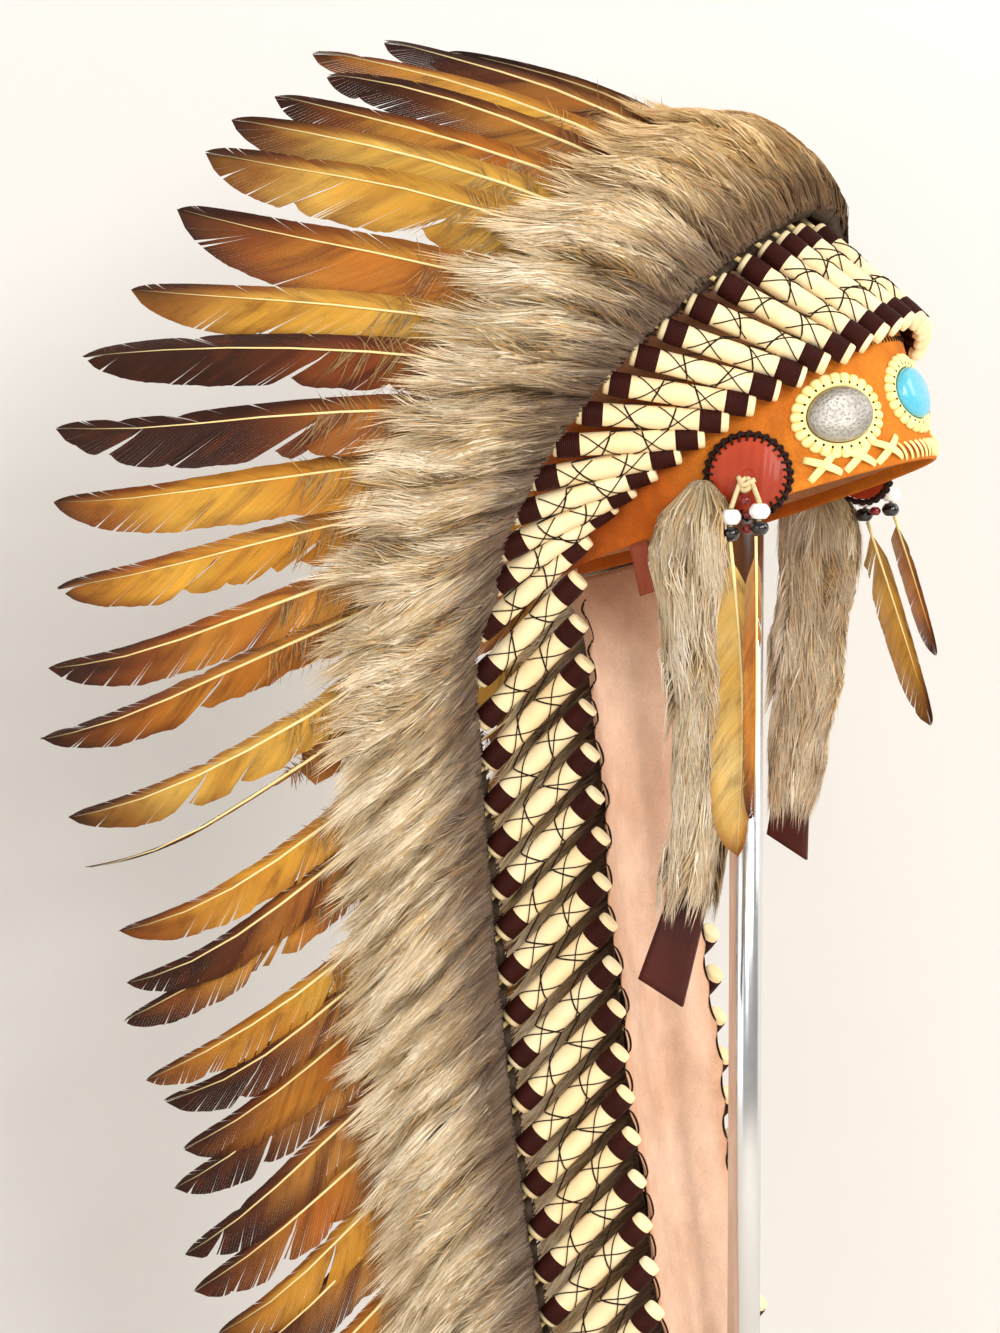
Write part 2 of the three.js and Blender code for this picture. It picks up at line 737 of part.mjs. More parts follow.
/** The short strap that hangs from the band's lower edge behind the ear. */
function tieStrap() {
  const turn = 106;
  const at = (degrees, height) => [0.4, 2.2].map((depth) => onHead(degrees * DEG, height, -depth));
  const outlines = [0, 0.5, 1].map((share) => {
    const height = -GAP - 24 * share;
    const [outerA, innerA] = at(turn - 3.2 + 1.5 * share, height);
    const [outerB, innerB] = at(turn + 3.2 + 1.5 * share, height);
    return [outerA, outerB, innerB, innerA];
  });
  return loft(outlines);
}

// ----------------------------------------------------------------- assembly

const headdress = new THREE.Group();

function add(name, finish, geometry) {
  const [color, roughness, metalness] = FINISH[finish];
  const material = new THREE.MeshStandardMaterial({ color, roughness, metalness });
  const mesh = new THREE.Mesh(geometry, material);
  mesh.name = name;
  headdress.add(mesh);
}

/** Adds a right-hand piece and its mirror image. */
function addPair(name, finish, geometry) {
  add(`${name}_right`, finish, geometry);
  add(`${name}_left`, finish, mirrored(geometry));
}

add("stand_base", "base", standBase());
add("stand_pole", "steel", standPole());
add("stand_head_rest", "base", standHeadRest());

add("brow_band", "bandSuede", browBand());
add("crown_cap", "capSuede", crownCap());
add("trailer_panel", "trailerSuede", trailerPanel());
add("tie_strap_right", "strap", tieStrap());

addPair("quill_rods_crown", "rod", rodRow(0, ROD.crownCount - 1));
addPair("quill_rods_trailer", "rod", rodRow(ROD.crownCount, ROD.count - 1));
addPair("feather_row", "feather", featherRow());
addPair("fur_outer", "fur", furRow(1));
addPair("fur_inner", "fur", furRow(-1));

add("stone_surround_front", "whipStitch", surroundPlate(FRONT_STONE));
add("turquoise_stone", "turquoise", ovalStone(FRONT_STONE));
addPair("stone_surround", "whipStitch", surroundPlate(SIDE_STONE));
addPair("silver_stone", "silver", ovalStone(SIDE_STONE));

addPair("rosette", "rosette", rosette());
addPair("rosette_rim", "rosetteRim", rosetteRim());
addPair("lace", "lace", beadLace());
for (const row of BEADS) addPair(`bead_${row.name}`, `${row.name.split("_")[0]}Bead`, bead(row));
for (const row of DROP_FEATHERS) {
  const blade = dropFeather(row);
  add(`drop_feather_${row.name}_${row.side}`, "feather", row.side === "left" ? mirrored(blade) : blade);
}

add("fur_drop_right", "fur", furDrop(FUR_DROP_RIGHT));
add("fur_drop_left", "fur", furDrop(FUR_DROP_LEFT));
add("fur_drop_end_right", "darkLeather", furDropEnd(FUR_DROP_RIGHT, 14, 46));
add("fur_drop_end_left", "darkLeather", furDropEnd(FUR_DROP_LEFT, 2, 24));

export default headdress;
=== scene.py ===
"""A long feathered headdress on a plain display stand, dressed over its fixed frame.

Sizes are in millimetres in this file and turn into metres as each piece is made.
The wearer would face -Y, +Z is up, and the wearer's right is on the -X side.
"""

import logging
import math
from dataclasses import dataclass, field
from enum import Enum
from typing import Callable, Optional, Sequence

import bmesh
import bpy
import numpy as np
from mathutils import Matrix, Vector

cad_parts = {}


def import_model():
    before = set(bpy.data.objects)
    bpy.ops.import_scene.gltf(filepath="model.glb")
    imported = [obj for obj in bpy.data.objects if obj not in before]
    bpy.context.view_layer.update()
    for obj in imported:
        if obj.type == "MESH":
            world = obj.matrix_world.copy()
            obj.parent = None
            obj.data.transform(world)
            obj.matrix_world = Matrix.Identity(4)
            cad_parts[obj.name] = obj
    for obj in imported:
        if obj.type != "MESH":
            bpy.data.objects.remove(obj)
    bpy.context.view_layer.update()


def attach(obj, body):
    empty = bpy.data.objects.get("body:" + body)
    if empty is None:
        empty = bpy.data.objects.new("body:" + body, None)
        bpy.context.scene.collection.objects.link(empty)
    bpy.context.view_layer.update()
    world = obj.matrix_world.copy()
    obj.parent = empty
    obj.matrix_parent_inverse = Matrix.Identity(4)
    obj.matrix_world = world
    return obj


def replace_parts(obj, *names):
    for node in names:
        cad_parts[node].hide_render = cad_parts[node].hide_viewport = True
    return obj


LOG = logging.getLogger("headdress")
MM = 0.001
Array = np.ndarray
Block = tuple[Array, list[Array], Array]  # points, faces and surface coordinates
Socket = bpy.types.NodeSocket
WHITE = np.ones(3)


class Side(Enum):
    """Which side of the wearer a piece is on; the value is the sign of its mirror in X."""

    RIGHT = 1
    LEFT = -1

    @property
    def word(self) -> str:
        """The side's name as node names use it."""
        return self.name.lower()


# ------------------------------------------------------------------ numbers


@dataclass(frozen=True)
class Table:
    """Rows of numbers under named columns, read smoothly along the first column."""

    names: str
    rows: tuple[tuple[float, ...], ...]

    def column(self, name: str) -> Array:
        """One column as an array."""
        return np.array([row[self.names.split().index(name)] for row in self.rows], float)

    def read(self, name: str, at: Array) -> Array:
        """Reads a column at any stations.

        Args:
            name: the column to read.
            at: stations along the first column.

        Returns:
            The values, smooth between rows and straight past the ends.
        """
        x, y = self.column(self.names.split()[0]), self.column(name)
        at = np.asarray(at, float)
        sense = np.sign(x[-1] - x[0])
        i = np.searchsorted(sense * x[1:-1], sense * at, side="left")
        chord = np.diff(y) / np.diff(x)
        lean = np.concatenate([chord[:1], (y[2:] - y[:-2]) / (x[2:] - x[:-2]), chord[-1:]])
        span = x[i + 1] - x[i]
        t = (at - x[i]) / span
        c = np.clip(t, 0, 1)
        c2, c3 = c * c, c * c * c
        inside = (
            y[i] * (2 * c3 - 3 * c2 + 1)
            + y[i + 1] * (3 * c2 - 2 * c3)
            + span * (lean[i] * (c3 - 2 * c2 + c) + lean[i + 1] * (c3 - c2))
        )
        return inside + chord[i] * (t - c) * span


def unit(v: Array) -> Array:
    """Vectors scaled to length 1 along the last axis."""
    return v / np.maximum(np.linalg.norm(v, axis=-1, keepdims=True), 1e-9)


def linear(code: str) -> Array:
    """A colour written as six hex digits, as linear red, green and blue."""
    srgb = np.array([int(code[i : i + 2], 16) / 255 for i in (0, 2, 4)])
    return np.where(srgb <= 0.04045, srgb / 12.92, ((srgb + 0.055) / 1.055) ** 2.4)


def aligned(*values: object) -> list[Array]:
    """Numbers and arrays brought to one shape."""
    return np.broadcast_arrays(*(np.asarray(v, float) for v in values))


def circle(steps: int) -> Array:
    """Even angles once round, from 0."""
    return np.arange(steps) / steps * 2 * np.pi


def blend(a: Array, b: Array, share: Array) -> Array:
    """Mixes colours or points: a where share is 0 and b where it is 1."""
    return a + (b - a) * np.asarray(share)[..., None]


def drift(at: Array, seed: float) -> Array:
    """A slow smooth wobble between about -1 and 1 along a line of stations."""
    at = np.asarray(at, float)
    return (
        np.sin(1.00 * at + seed) + 0.6 * np.sin(2.31 * at + 2.7 * seed) + 0.4 * np.sin(4.73 * at + 5.1 * seed)
    ) / 2.0


# ------------------------------------------------------------------- meshes


def lattice(rows: int, columns: int, ring_rows: bool = False, ring_columns: bool = False) -> Array:
    """Quads over a grid of points stored row by row.

    Args:
        rows: how many rows of points.
        columns: points in each row.
        ring_rows: join the last row to the first.
        ring_columns: join the last column to the first.

    Returns:
        Point indices, one row of four for each quad.
    """
    r = np.arange(rows if ring_rows else rows - 1)[:, None]
    c = np.arange(columns if ring_columns else columns - 1)[None, :]
    r2, c2 = (r + 1) % rows, (c + 1) % columns
    corners = [r * columns + c, r * columns + c2, r2 * columns + c2, r2 * columns + c]
    return np.stack(np.broadcast_arrays(*corners), -1).reshape(-1, 4)


def lids(rows: int, columns: int) -> list[Array]:
    """Quads that close both ends of a flattened ring of points.

    Args:
        rows: how many rings there are.
        columns: points in each ring; its second half lies behind its first.

    Returns:
        Quads over the first ring, and over the last.
    """
    closed = []
    for row in (0, rows - 1):
        low = row * columns + np.arange(columns // 2)
        high = row * columns + columns - 1 - np.arange(columns // 2)
        closed.append(np.stack([low[:-1], low[1:], high[1:], high[:-1]], -1))
    return closed


def blades(count: int) -> Array:
    """Triangles over blades of five points: two at the root, two in the middle, one at the tip."""
    root = (np.arange(count) * 5)[:, None]
    return np.concatenate([root + np.array([corners]) for corners in ([0, 1, 3], [0, 3, 2], [2, 3, 4])])


@dataclass
class Draft:
    """Points, faces and paint gathered for one piece."""

    name: str
    points: list[Array] = field(default_factory=list)
    faces: list[Array] = field(default_factory=list)
    uvs: list[Array] = field(default_factory=list)
    tints: list[Array] = field(default_factory=list)
    count: int = 0

    def add(
        self, points: Array, faces: Sequence[Array], uv: Optional[Array] = None, tint: Optional[Array] = None
    ) -> "Draft":
        """Adds a block of mesh.

        Args:
            points: positions in millimetres, three to a row.
            faces: arrays of point indices, three or four to a row.
            uv: two surface coordinates for each point.
            tint: a colour for each point, or one for the block.

        Returns:
            The draft itself.
        """
        points = np.asarray(points, float).reshape(-1, 3)
        n = len(points)
        self.points.append(points)
        self.faces += [np.asarray(f) + self.count for f in faces]
        self.uvs.append(np.zeros((n, 2)) if uv is None else np.asarray(uv, float).reshape(-1, 2))
        tint = WHITE if tint is None else np.asarray(tint, float)
        self.tints.append(np.broadcast_to(tint.reshape(-1, 3), (n, 3)))
        self.count += n
        return self

    def piece(self, finish: "Finish", side: Side = Side.RIGHT, solid: bool = False) -> bpy.types.Object:
        """Makes the piece, mirrored for the left, in its finish.

        Args:
            finish: what it is made of.
            side: the left mirrors what was drafted for the right.
            solid: closed surfaces whose faces are turned outwards.

        Returns:
            The new object, riding on the frame's one body.
        """
        points = np.concatenate(self.points) * MM * np.array([side.value, 1, 1])
        mesh = bpy.data.meshes.new(self.name)
        mesh.vertices.add(len(points))
        mesh.vertices.foreach_set("co", points.ravel())
        turned = [f[:, ::-1] if side is Side.LEFT else f for f in self.faces]
        loops = np.concatenate([f.ravel() for f in turned])
        sizes = np.concatenate([np.full(len(f), f.shape[1]) for f in turned])
        mesh.loops.add(len(loops))
        mesh.loops.foreach_set("vertex_index", loops.astype(np.int32))
        mesh.polygons.add(len(sizes))
        mesh.polygons.foreach_set("loop_start", (np.cumsum(sizes) - sizes).astype(np.int32))
        mesh.polygons.foreach_set("use_smooth", np.ones(len(sizes), bool))
        layer = mesh.uv_layers.new(name="Surface")
        layer.data.foreach_set("uv", np.concatenate(self.uvs)[loops].ravel())
        paint = mesh.attributes.new("Tint", "FLOAT_COLOR", "POINT")
        rgba = np.ones((len(points), 4))
        rgba[:, :3] = np.concatenate(self.tints)
        paint.data.foreach_set("color", rgba.ravel())
        mesh.update(calc_edges=True)
        mesh.validate()
        if solid:
            mend(mesh)
        obj = bpy.data.objects.new(self.name, mesh)
        bpy.context.scene.collection.objects.link(obj)
        mesh.materials.append(finish.material())
        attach(obj, "root")
        return obj


def mend(mesh: bpy.types.Mesh, weld: float = 0.0) -> None:
    """Turns the faces of closed surfaces outwards.

    Args:
        mesh: the surfaces.
        weld: points nearer than this, in metres, are joined first.
    """
    work = bmesh.new()
    work.from_mesh(mesh)
    if weld:
        bmesh.ops.remove_doubles(work, verts=work.verts, dist=weld)
    bmesh.ops.recalc_face_normals(work, faces=work.faces)
    work.to_mesh(mesh)
    work.free()


def sweep(paths: Array, radii: Array, sides: int, flat: float = 1.0, up: Optional[Array] = None) -> Block:
    """Closed round strands swept along many paths at once.

    Args:
        paths: points, as strands by stations by three.
        radii: the radius at each station, for one strand or for each.
        sides: corners of the section.
        flat: the section's thickness over its width.
        up: the way the section's thickness points, one for all or one each.

    Returns:
        Points, a list of faces, and surface coordinates (length along, share round).
    """
    paths = np.asarray(paths, float)
    if paths.ndim == 2:
        paths = paths[None]
    strands, stations = paths.shape[:2]
    radii = np.broadcast_to(np.asarray(radii, float), (strands, stations))
    ahead = unit(np.gradient(paths, axis=1))
    if up is None:
        whole = unit(paths[:, -1] - paths[:, 0] + 1e-6)
        up = np.eye(3)[np.argmin(np.abs(whole), axis=1)]
    up = np.broadcast_to(np.asarray(up, float), (strands, 3))[:, None]
    wide = unit(np.cross(ahead, np.broadcast_to(up, ahead.shape)))
    thick = np.cross(wide, ahead)
    angle = circle(sides)
    ring = wide[:, :, None] * np.cos(angle)[:, None] + thick[:, :, None] * flat * np.sin(angle)[:, None]
    body = paths[:, :, None] + ring * radii[:, :, None, None]
    along = np.concatenate(
        [np.zeros((strands, 1)), np.cumsum(np.linalg.norm(np.diff(paths, axis=1), axis=2), axis=1)], axis=1
    )
    uv = np.stack(np.broadcast_arrays(along[:, :, None], (angle / (2 * np.pi))[None, None]), -1)
    block = stations * sides
    quads = lattice(stations, sides, ring_columns=True)[None] + (np.arange(strands) * block)[:, None, None]
    first = np.arange(sides)
    ends = strands * block + np.arange(strands)[:, None]
    low = np.stack(np.broadcast_arrays((first + 1) % sides, first, 0), -1)[None].repeat(strands, 0)
    low = low + (np.arange(strands) * block)[:, None, None]
    high = low[:, :, ::-1] + (stations - 1) * sides
    low[:, :, 2], high[:, :, 0] = ends, ends + strands
    points = np.concatenate([body.reshape(-1, 3), paths[:, 0], paths[:, -1]])
    tips = np.stack([np.concatenate([along[:, 0], along[:, -1]]), np.zeros(2 * strands)], -1)
    uvs = np.concatenate([uv.reshape(-1, 2), tips])
    return points, [quads.reshape(-1, 4), low.reshape(-1, 3), high.reshape(-1, 3)], uvs


def lathe(profile: Sequence[tuple[float, float]], steps: int) -> Block:
    """A shape turned about Z.

    Args:
        profile: pairs of radius and height; a radius of 0 closes an end.
        steps: corners round.

    Returns:
        Points, a list of faces, and surface coordinates (length along, share round).
    """
    outline = np.array(profile, float)
    angle = circle(steps)
    ring = np.stack([np.cos(angle), np.sin(angle), np.zeros(steps)], -1)
    points = outline[:, None, :1] * ring + outline[:, None, 1:] * np.array([0, 0, 1])
    run = np.concatenate([[0], np.cumsum(np.hypot(*np.diff(outline, axis=0).T))])
    uv = np.stack(np.broadcast_arrays(run[:, None], angle / (2 * np.pi)), -1)
    return points.reshape(-1, 3), [lattice(len(outline), steps, ring_columns=True)], uv.reshape(-1, 2)


def rounded(corners: Sequence[tuple[float, float]], radius: float, steps: int = 4) -> list[tuple[float, float]]:
    """A profile whose inner corners are rounded off."""
    pts = [np.array(c, float) for c in corners]
    out = [tuple(pts[0])]
    for before, here, after in zip(pts, pts[1:], pts[2:]):
        a, b = before - here, after - here
        cut = min(radius, np.linalg.norm(a) / 2, np.linalg.norm(b) / 2)
        a, b = here + a / np.linalg.norm(a) * cut, here + b / np.linalg.norm(b) * cut
        for i in range(steps + 1):
            t = i / steps
            out.append(tuple((1 - t) ** 2 * a + 2 * t * (1 - t) * here + t * t * b))
    return out + [tuple(pts[-1])]


def curve(knots: Sequence[Sequence[float]], steps: int) -> Array:
    """A smooth open path through a few points."""
    knots = np.array(knots, float)
    padded = np.concatenate([[2 * knots[0] - knots[1]], knots, [2 * knots[-1] - knots[-2]]])
    t = np.linspace(0, len(knots) - 1, steps)
    i = np.minimum(t.astype(int), len(knots) - 2)
    f = (t - i)[:, None]
    a, b, c, d = (padded[i + k] for k in range(4))
    return 0.5 * (2 * b + (c - a) * f + (2 * a - 5 * b + 4 * c - d) * f**2 + (3 * b - a - 3 * c + d) * f**3)


# ---------------------------------------------------------------- materials


class Wiring:
    """Places and links the nodes of one tree."""

    MIX_INPUTS = (0, 6, 7)  # a colour mix node's share and two colours

    def __init__(self, tree: bpy.types.NodeTree) -> None:
        """Keeps the tree to work on."""
        self.tree = tree

    def give(self, socket: Socket, value: object) -> None:
        """Links a socket to another one, or sets it to a number or a colour."""
        if isinstance(value, Socket):
            self.tree.links.new(value, socket)
        elif socket.type == "RGBA":
            socket.default_value = (*value[:3], 1)
        else:
            socket.default_value = value

    def coordinates(self) -> Socket:
        """Positions in the object's own frame."""
        return self.place("ShaderNodeTexCoord").outputs["Object"]

    def lanes(self) -> Socket:
        """The piece's own surface coordinates."""
        return self.place("ShaderNodeUVMap", uv_map="Surface").outputs[0]

    def place(self, kind: str, **settings: object) -> bpy.types.Node:
        """Adds a node and sets its options."""
        node = self.tree.nodes.new(kind)
        for name, value in settings.items():
            setattr(node, name, value)
        return node

    def feed(self, node: bpy.types.Node, **inputs: object) -> bpy.types.Node:
        """Sets or links a node's inputs, named with _ for a space."""
        for name, value in inputs.items():
            self.give(node.inputs[name.replace("_", " ")], value)
        return node

    def number(self, how: str, *values: object) -> Socket:
        """A Math node's result; how is its operation."""
        node = self.place("ShaderNodeMath", operation=how)
        for socket, value in zip(node.inputs, values):
            self.give(socket, value)
        return node.outputs[0]

    def mix(self, share: object, a: object, b: object, how: str = "MIX") -> Socket:
        """A colour mix of a and b."""
        node = self.place("ShaderNodeMix", data_type="RGBA", blend_type=how)
        for place, value in zip(self.MIX_INPUTS, (share, a, b)):
            self.give(node.inputs[place], value)
        return node.outputs[2]

    def noise(self, where: object, scale: object, detail: float = 3, rough: float = 0.55) -> Socket:
        """A noise value between about 0.2 and 0.8."""
        node = self.place("ShaderNodeTexNoise")
        self.feed(node, Vector=where, Scale=scale, Detail=detail, Roughness=rough)
        return node.outputs["Fac"]

    def stretch(self, where: Socket, scale: Sequence[float]) -> Socket:
        """A position scaled by a different amount each way."""
        node = self.place("ShaderNodeVectorMath", operation="MULTIPLY")
        for socket, value in zip(node.inputs, (where, scale)):
            self.give(socket, value)
        return node.outputs[0]

    def spread(self, value: object, low: float, high: float, to_low: float = 0, to_high: float = 1) -> object:
        """A value moved from one range to another, held inside it."""
        node = self.place("ShaderNodeMapRange")
        self.feed(node, Value=value, From_Min=low, From_Max=high, To_Min=to_low, To_Max=to_high)
        return node.outputs[0]


def effect(
    name: str, inputs: dict[str, tuple[str, object]], outputs: dict[str, str]
) -> tuple[bpy.types.NodeTree, Wiring, bpy.types.Node, bpy.types.Node]:
    """Starts a shader node group.

    Args:
        name: the group's name.
        inputs: socket name to its type and default.
        outputs: socket name to its type.

    Returns:
        The group, its wiring, its input node and its output node.
    """
    tree = bpy.data.node_groups.new(name, "ShaderNodeTree")
    for socket, (kind, value) in inputs.items():
        made = tree.interface.new_socket(socket, in_out="INPUT", socket_type=f"NodeSocket{kind}")
        made.default_value = value
    for socket, kind in outputs.items():
        tree.interface.new_socket(socket, in_out="OUTPUT", socket_type=f"NodeSocket{kind}")
    wiring = Wiring(tree)
    return tree, wiring, wiring.place("NodeGroupInput"), wiring.place("NodeGroupOutput")


class Effects:
    """The shared node groups, each built the first time a material asks for it."""

    _built: dict[str, bpy.types.NodeTree] = {}

    @classmethod
    def get(cls, name: str) -> bpy.types.NodeTree:
        """The group of that name."""
        if name not in cls._built:
            cls._built[name] = getattr(cls, f"_{name}")()
        return cls._built[name]

    @staticmethod
    def _patches() -> bpy.types.NodeTree:
        """Slow changes of tone over a surface, as on dyed or handled skin."""
        tree, w, into, out = effect(
            "Patches",
            {"Color": ("Color", (1, 1, 1, 1)), "Shade": ("Color", (0.5, 0.5, 0.5, 1)), "Scale": ("Float", 20.0),
             "Amount": ("Float", 0.5)},
            {"Color": "Color", "Mask": "Float"},
        )
        where = w.coordinates()
        broad = w.noise(where, into.outputs["Scale"], 4, 0.6)
        mask = w.spread(broad, 0.38, 0.66)
        share = w.number("MULTIPLY", mask, into.outputs["Amount"])
        w.feed(out, Color=w.mix(share, into.outputs["Color"], into.outputs["Shade"]), Mask=mask)
        return tree

    @staticmethod
    def _nap() -> bpy.types.NodeTree:
        """The short pile of suede: fine flecks of tone, and a soft brushed height."""
        tree, w, into, out = effect(
            "Suede nap",
            {"Color": ("Color", (1, 1, 1, 1)), "Fleck": ("Float", 0.25), "Scale": ("Float", 900.0)},
            {"Color": "Color", "Height": "Float"},
        )
        where = w.coordinates()
        pile = w.noise(where, into.outputs["Scale"], 3, 0.7)
        brushed = w.noise(where, w.number("MULTIPLY", into.outputs["Scale"], 0.09), 5, 0.65)
        tone = w.number("ADD", w.number("MULTIPLY", pile, 0.5), w.number("MULTIPLY", brushed, 0.5))
        dark = w.mix(into.outputs["Fleck"], into.outputs["Color"], (0.10, 0.05, 0.03, 1), "MULTIPLY")
        share = w.spread(tone, 0.42, 0.62, 1, 0)
        height = w.number("ADD", pile, w.number("MULTIPLY", brushed, 2.0))
        w.feed(out, Color=w.mix(share, into.outputs["Color"], dark), Height=height)
        return tree

    @staticmethod
    def _winding() -> bpy.types.NodeTree:
        """Thread laid turn beside turn along the first surface coordinate, in millimetres."""
        tree, w, into, out = effect(
            "Thread winding",
            {"Pitch": ("Float", 0.8), "Wander": ("Float", 0.3)},
            {"Height": "Float", "Groove": "Float"},
        )
        split = w.feed(w.place("ShaderNodeSeparateXYZ"), Vector=w.lanes())
        where = w.coordinates()
        wobble = w.number("MULTIPLY", w.noise(where, 260, 2), into.outputs["Wander"])
        turns = w.number("DIVIDE", w.number("ADD", split.outputs[0], wobble), into.outputs["Pitch"])
        height = w.number("ABSOLUTE", w.number("SINE", w.number("MULTIPLY", turns, math.pi)))
        # Groove marks the hollows between turns, where the finish paints shade.
        w.feed(out, Height=height, Groove=w.spread(height, 0.0, 0.45, 1, 0))
        return tree

    @staticmethod
    def _barbs() -> bpy.types.NodeTree:
        """The fine barbs of a vane, and the smudges that run along them, on the web's own coordinates."""
        tree, w, into, out = effect(
            "Feather barbs",
            {"Color": ("Color", (1, 1, 1, 1)), "Smudge": ("Color", (0.1, 0.03, 0.01, 1)), "Pitch": ("Float", 1.1),
             "Depth": ("Float", 0.3)},
            {"Color": "Color", "Height": "Float"},
        )
        lane = w.lanes()
        split = w.feed(w.place("ShaderNodeSeparateXYZ"), Vector=lane)
        hair = w.noise(w.stretch(lane, (1.1, 0.7, 1)), 1.0, 2, 0.6)
        blot = w.noise(w.stretch(lane, (0.075, 1.1, 1)), 1.0, 5, 0.62)
        wobbled = w.number("ADD", split.outputs[0], w.number("MULTIPLY", hair, 0.8))
        turns = w.number("DIVIDE", wobbled, into.outputs["Pitch"])
        swing = w.number("SINE", w.number("MULTIPLY", turns, 6.283))
        stripe = w.number("ADD", w.number("MULTIPLY", swing, 0.5), 0.5)
        fine = w.number("MULTIPLY", w.number("MULTIPLY", stripe, hair), into.outputs["Depth"])
        streak = w.number("MULTIPLY", w.spread(hair, 0.45, 0.75), into.outputs["Depth"])
        smear = w.number("MULTIPLY", w.spread(blot, 0.52, 0.7), 0.75)
        share = w.number("MINIMUM", w.number("ADD", w.number("ADD", fine, streak), smear), 0.85)
        dark = w.mix(0.35, into.outputs["Smudge"], into.outputs["Color"], "MIX")
        lit = w.mix(w.spread(blot, 0.5, 0.3, 0, 1.0), into.outputs["Color"], (1.2, 1.1, 0.85, 1), "MULTIPLY")
        w.feed(out, Color=w.mix(share, lit, dark), Height=w.number("ADD", stripe, hair))
        return tree


@dataclass(frozen=True)
class Finish:
    """A surface finish: its colour, its gloss and the small detail laid over them."""

    name: str
    slot: str
    color: str = "FFFFFF"
    shade: str = "808080"
    patch_scale: float = 20.0
    patch_amount: float = 0.3
    roughness: float = 0.6
    metallic: float = 0.0
    coat: float = 0.0
    coat_roughness: float = 0.1
    sheen: float = 0.0
    bump: float = 0.3
    bump_depth: float = 0.0003
    painted: bool = False
    shine: float = 0.5

    def material(self) -> bpy.types.Material:
        """The finish's material, made once."""
        known = bpy.data.materials.get(self.name)
        if known:
            return known
        made = bpy.data.materials.new(self.name)
        made.use_nodes = True
        w = Wiring(made.node_tree)
        shader = made.node_tree.nodes["Principled BSDF"]
        w.feed(shader, Metallic=self.metallic, Coat_Weight=self.coat, Coat_Roughness=self.coat_roughness)
        w.feed(shader, Sheen_Weight=self.sheen, Specular_IOR_Level=self.shine)
        color, height = self.detail(w, self.patched(w))
        bump = w.feed(w.place("ShaderNodeBump"), Strength=self.bump, Distance=self.bump_depth, Height=height)
        w.feed(shader, Base_Color=color, Normal=bump.outputs[0])
        self.gloss(w, shader)
        return made

    def patched(self, w: Wiring) -> Socket:
        """The base colour with its slow changes of tone, times the piece's own paint."""
        group = w.place("ShaderNodeGroup", node_tree=Effects.get("patches"))
        w.feed(group, Color=(*linear(self.color), 1), Shade=(*linear(self.shade), 1), Scale=self.patch_scale)
        w.feed(group, Amount=self.patch_amount)
        if not self.painted:
            return group.outputs["Color"]
        paint = w.place("ShaderNodeAttribute", attribute_name="Tint")
        return w.mix(1.0, group.outputs["Color"], paint.outputs["Color"], "MULTIPLY")

    def detail(self, w: Wiring, color: Socket) -> tuple[Socket, Socket]:
        """The finish's fine detail: a colour and a height."""
        where = w.coordinates()
        return color, w.noise(where, 700, 3)

    def gloss(self, w: Wiring, shader: bpy.types.Node) -> None:
        """Changes of roughness over the surface."""
        where = w.coordinates()
        dull, bright = self.roughness * 0.88, min(1, self.roughness * 1.12)
        w.feed(shader, Roughness=w.spread(w.noise(where, 160, 3), 0.3, 0.7, dull, bright))


@dataclass(frozen=True)
class Suede(Finish):
    """Brushed skin with a soft nap."""

    fleck: float = 0.3
    nap: float = 900.0

    def detail(self, w: Wiring, color: Socket) -> tuple[Socket, Socket]:
        """Flecks of tone and the height of the nap."""
        group = w.place("ShaderNodeGroup", node_tree=Effects.get("nap"))
        w.feed(group, Color=color, Fleck=self.fleck, Scale=self.nap)
        return group.outputs["Color"], group.outputs["Height"]


@dataclass(frozen=True)
class Wound(Finish):
    """Thread wound close round a core."""

    pitch: float = 0.9
    # colour of the shade painted in the grooves between turns
    groove: str = "140606"

    def detail(self, w: Wiring, color: Socket) -> tuple[Socket, Socket]:
        """Painted shade in the grooves between round turns."""
        group = w.place("ShaderNodeGroup", node_tree=Effects.get("winding"))
        w.feed(group, Pitch=self.pitch)
        share = w.number("MULTIPLY", group.outputs["Groove"], 0.7)
        return w.mix(share, color, (*linear(self.groove), 1)), group.outputs["Height"]


@dataclass(frozen=True)
class Vane(Finish):
    """The barbed web of a feather."""

    pitch: float = 1.2
    depth: float = 0.28

    def detail(self, w: Wiring, color: Socket) -> tuple[Socket, Socket]:
        """Fine barb stripes and brown smudges."""
        group = w.place("ShaderNodeGroup", node_tree=Effects.get("barbs"))
        w.feed(group, Color=color, Smudge=(*linear(self.shade), 1), Pitch=self.pitch, Depth=self.depth)
        return group.outputs["Color"], group.outputs["Height"]


@dataclass(frozen=True)
class Hammered(Finish):
    """Metal or stone with shallow dents."""

    dents: float = 260.0

    def detail(self, w: Wiring, color: Socket) -> tuple[Socket, Socket]:
        """Dents, with dull colour left in them."""
        where = w.coordinates()
        cells = w.place("ShaderNodeTexVoronoi")
        w.feed(cells, Vector=where, Scale=self.dents)
        deep = w.spread(cells.outputs["Distance"], 0.05, 0.6)
        share = w.spread(deep, 0.0, 1.0, 0.6, 0.0)
        grain = w.noise(where, self.dents * 2.2, 3)
        height = w.number("ADD", deep, w.number("MULTIPLY", grain, 0.4))
        return w.mix(share, color, (*linear(self.shade), 1)), height


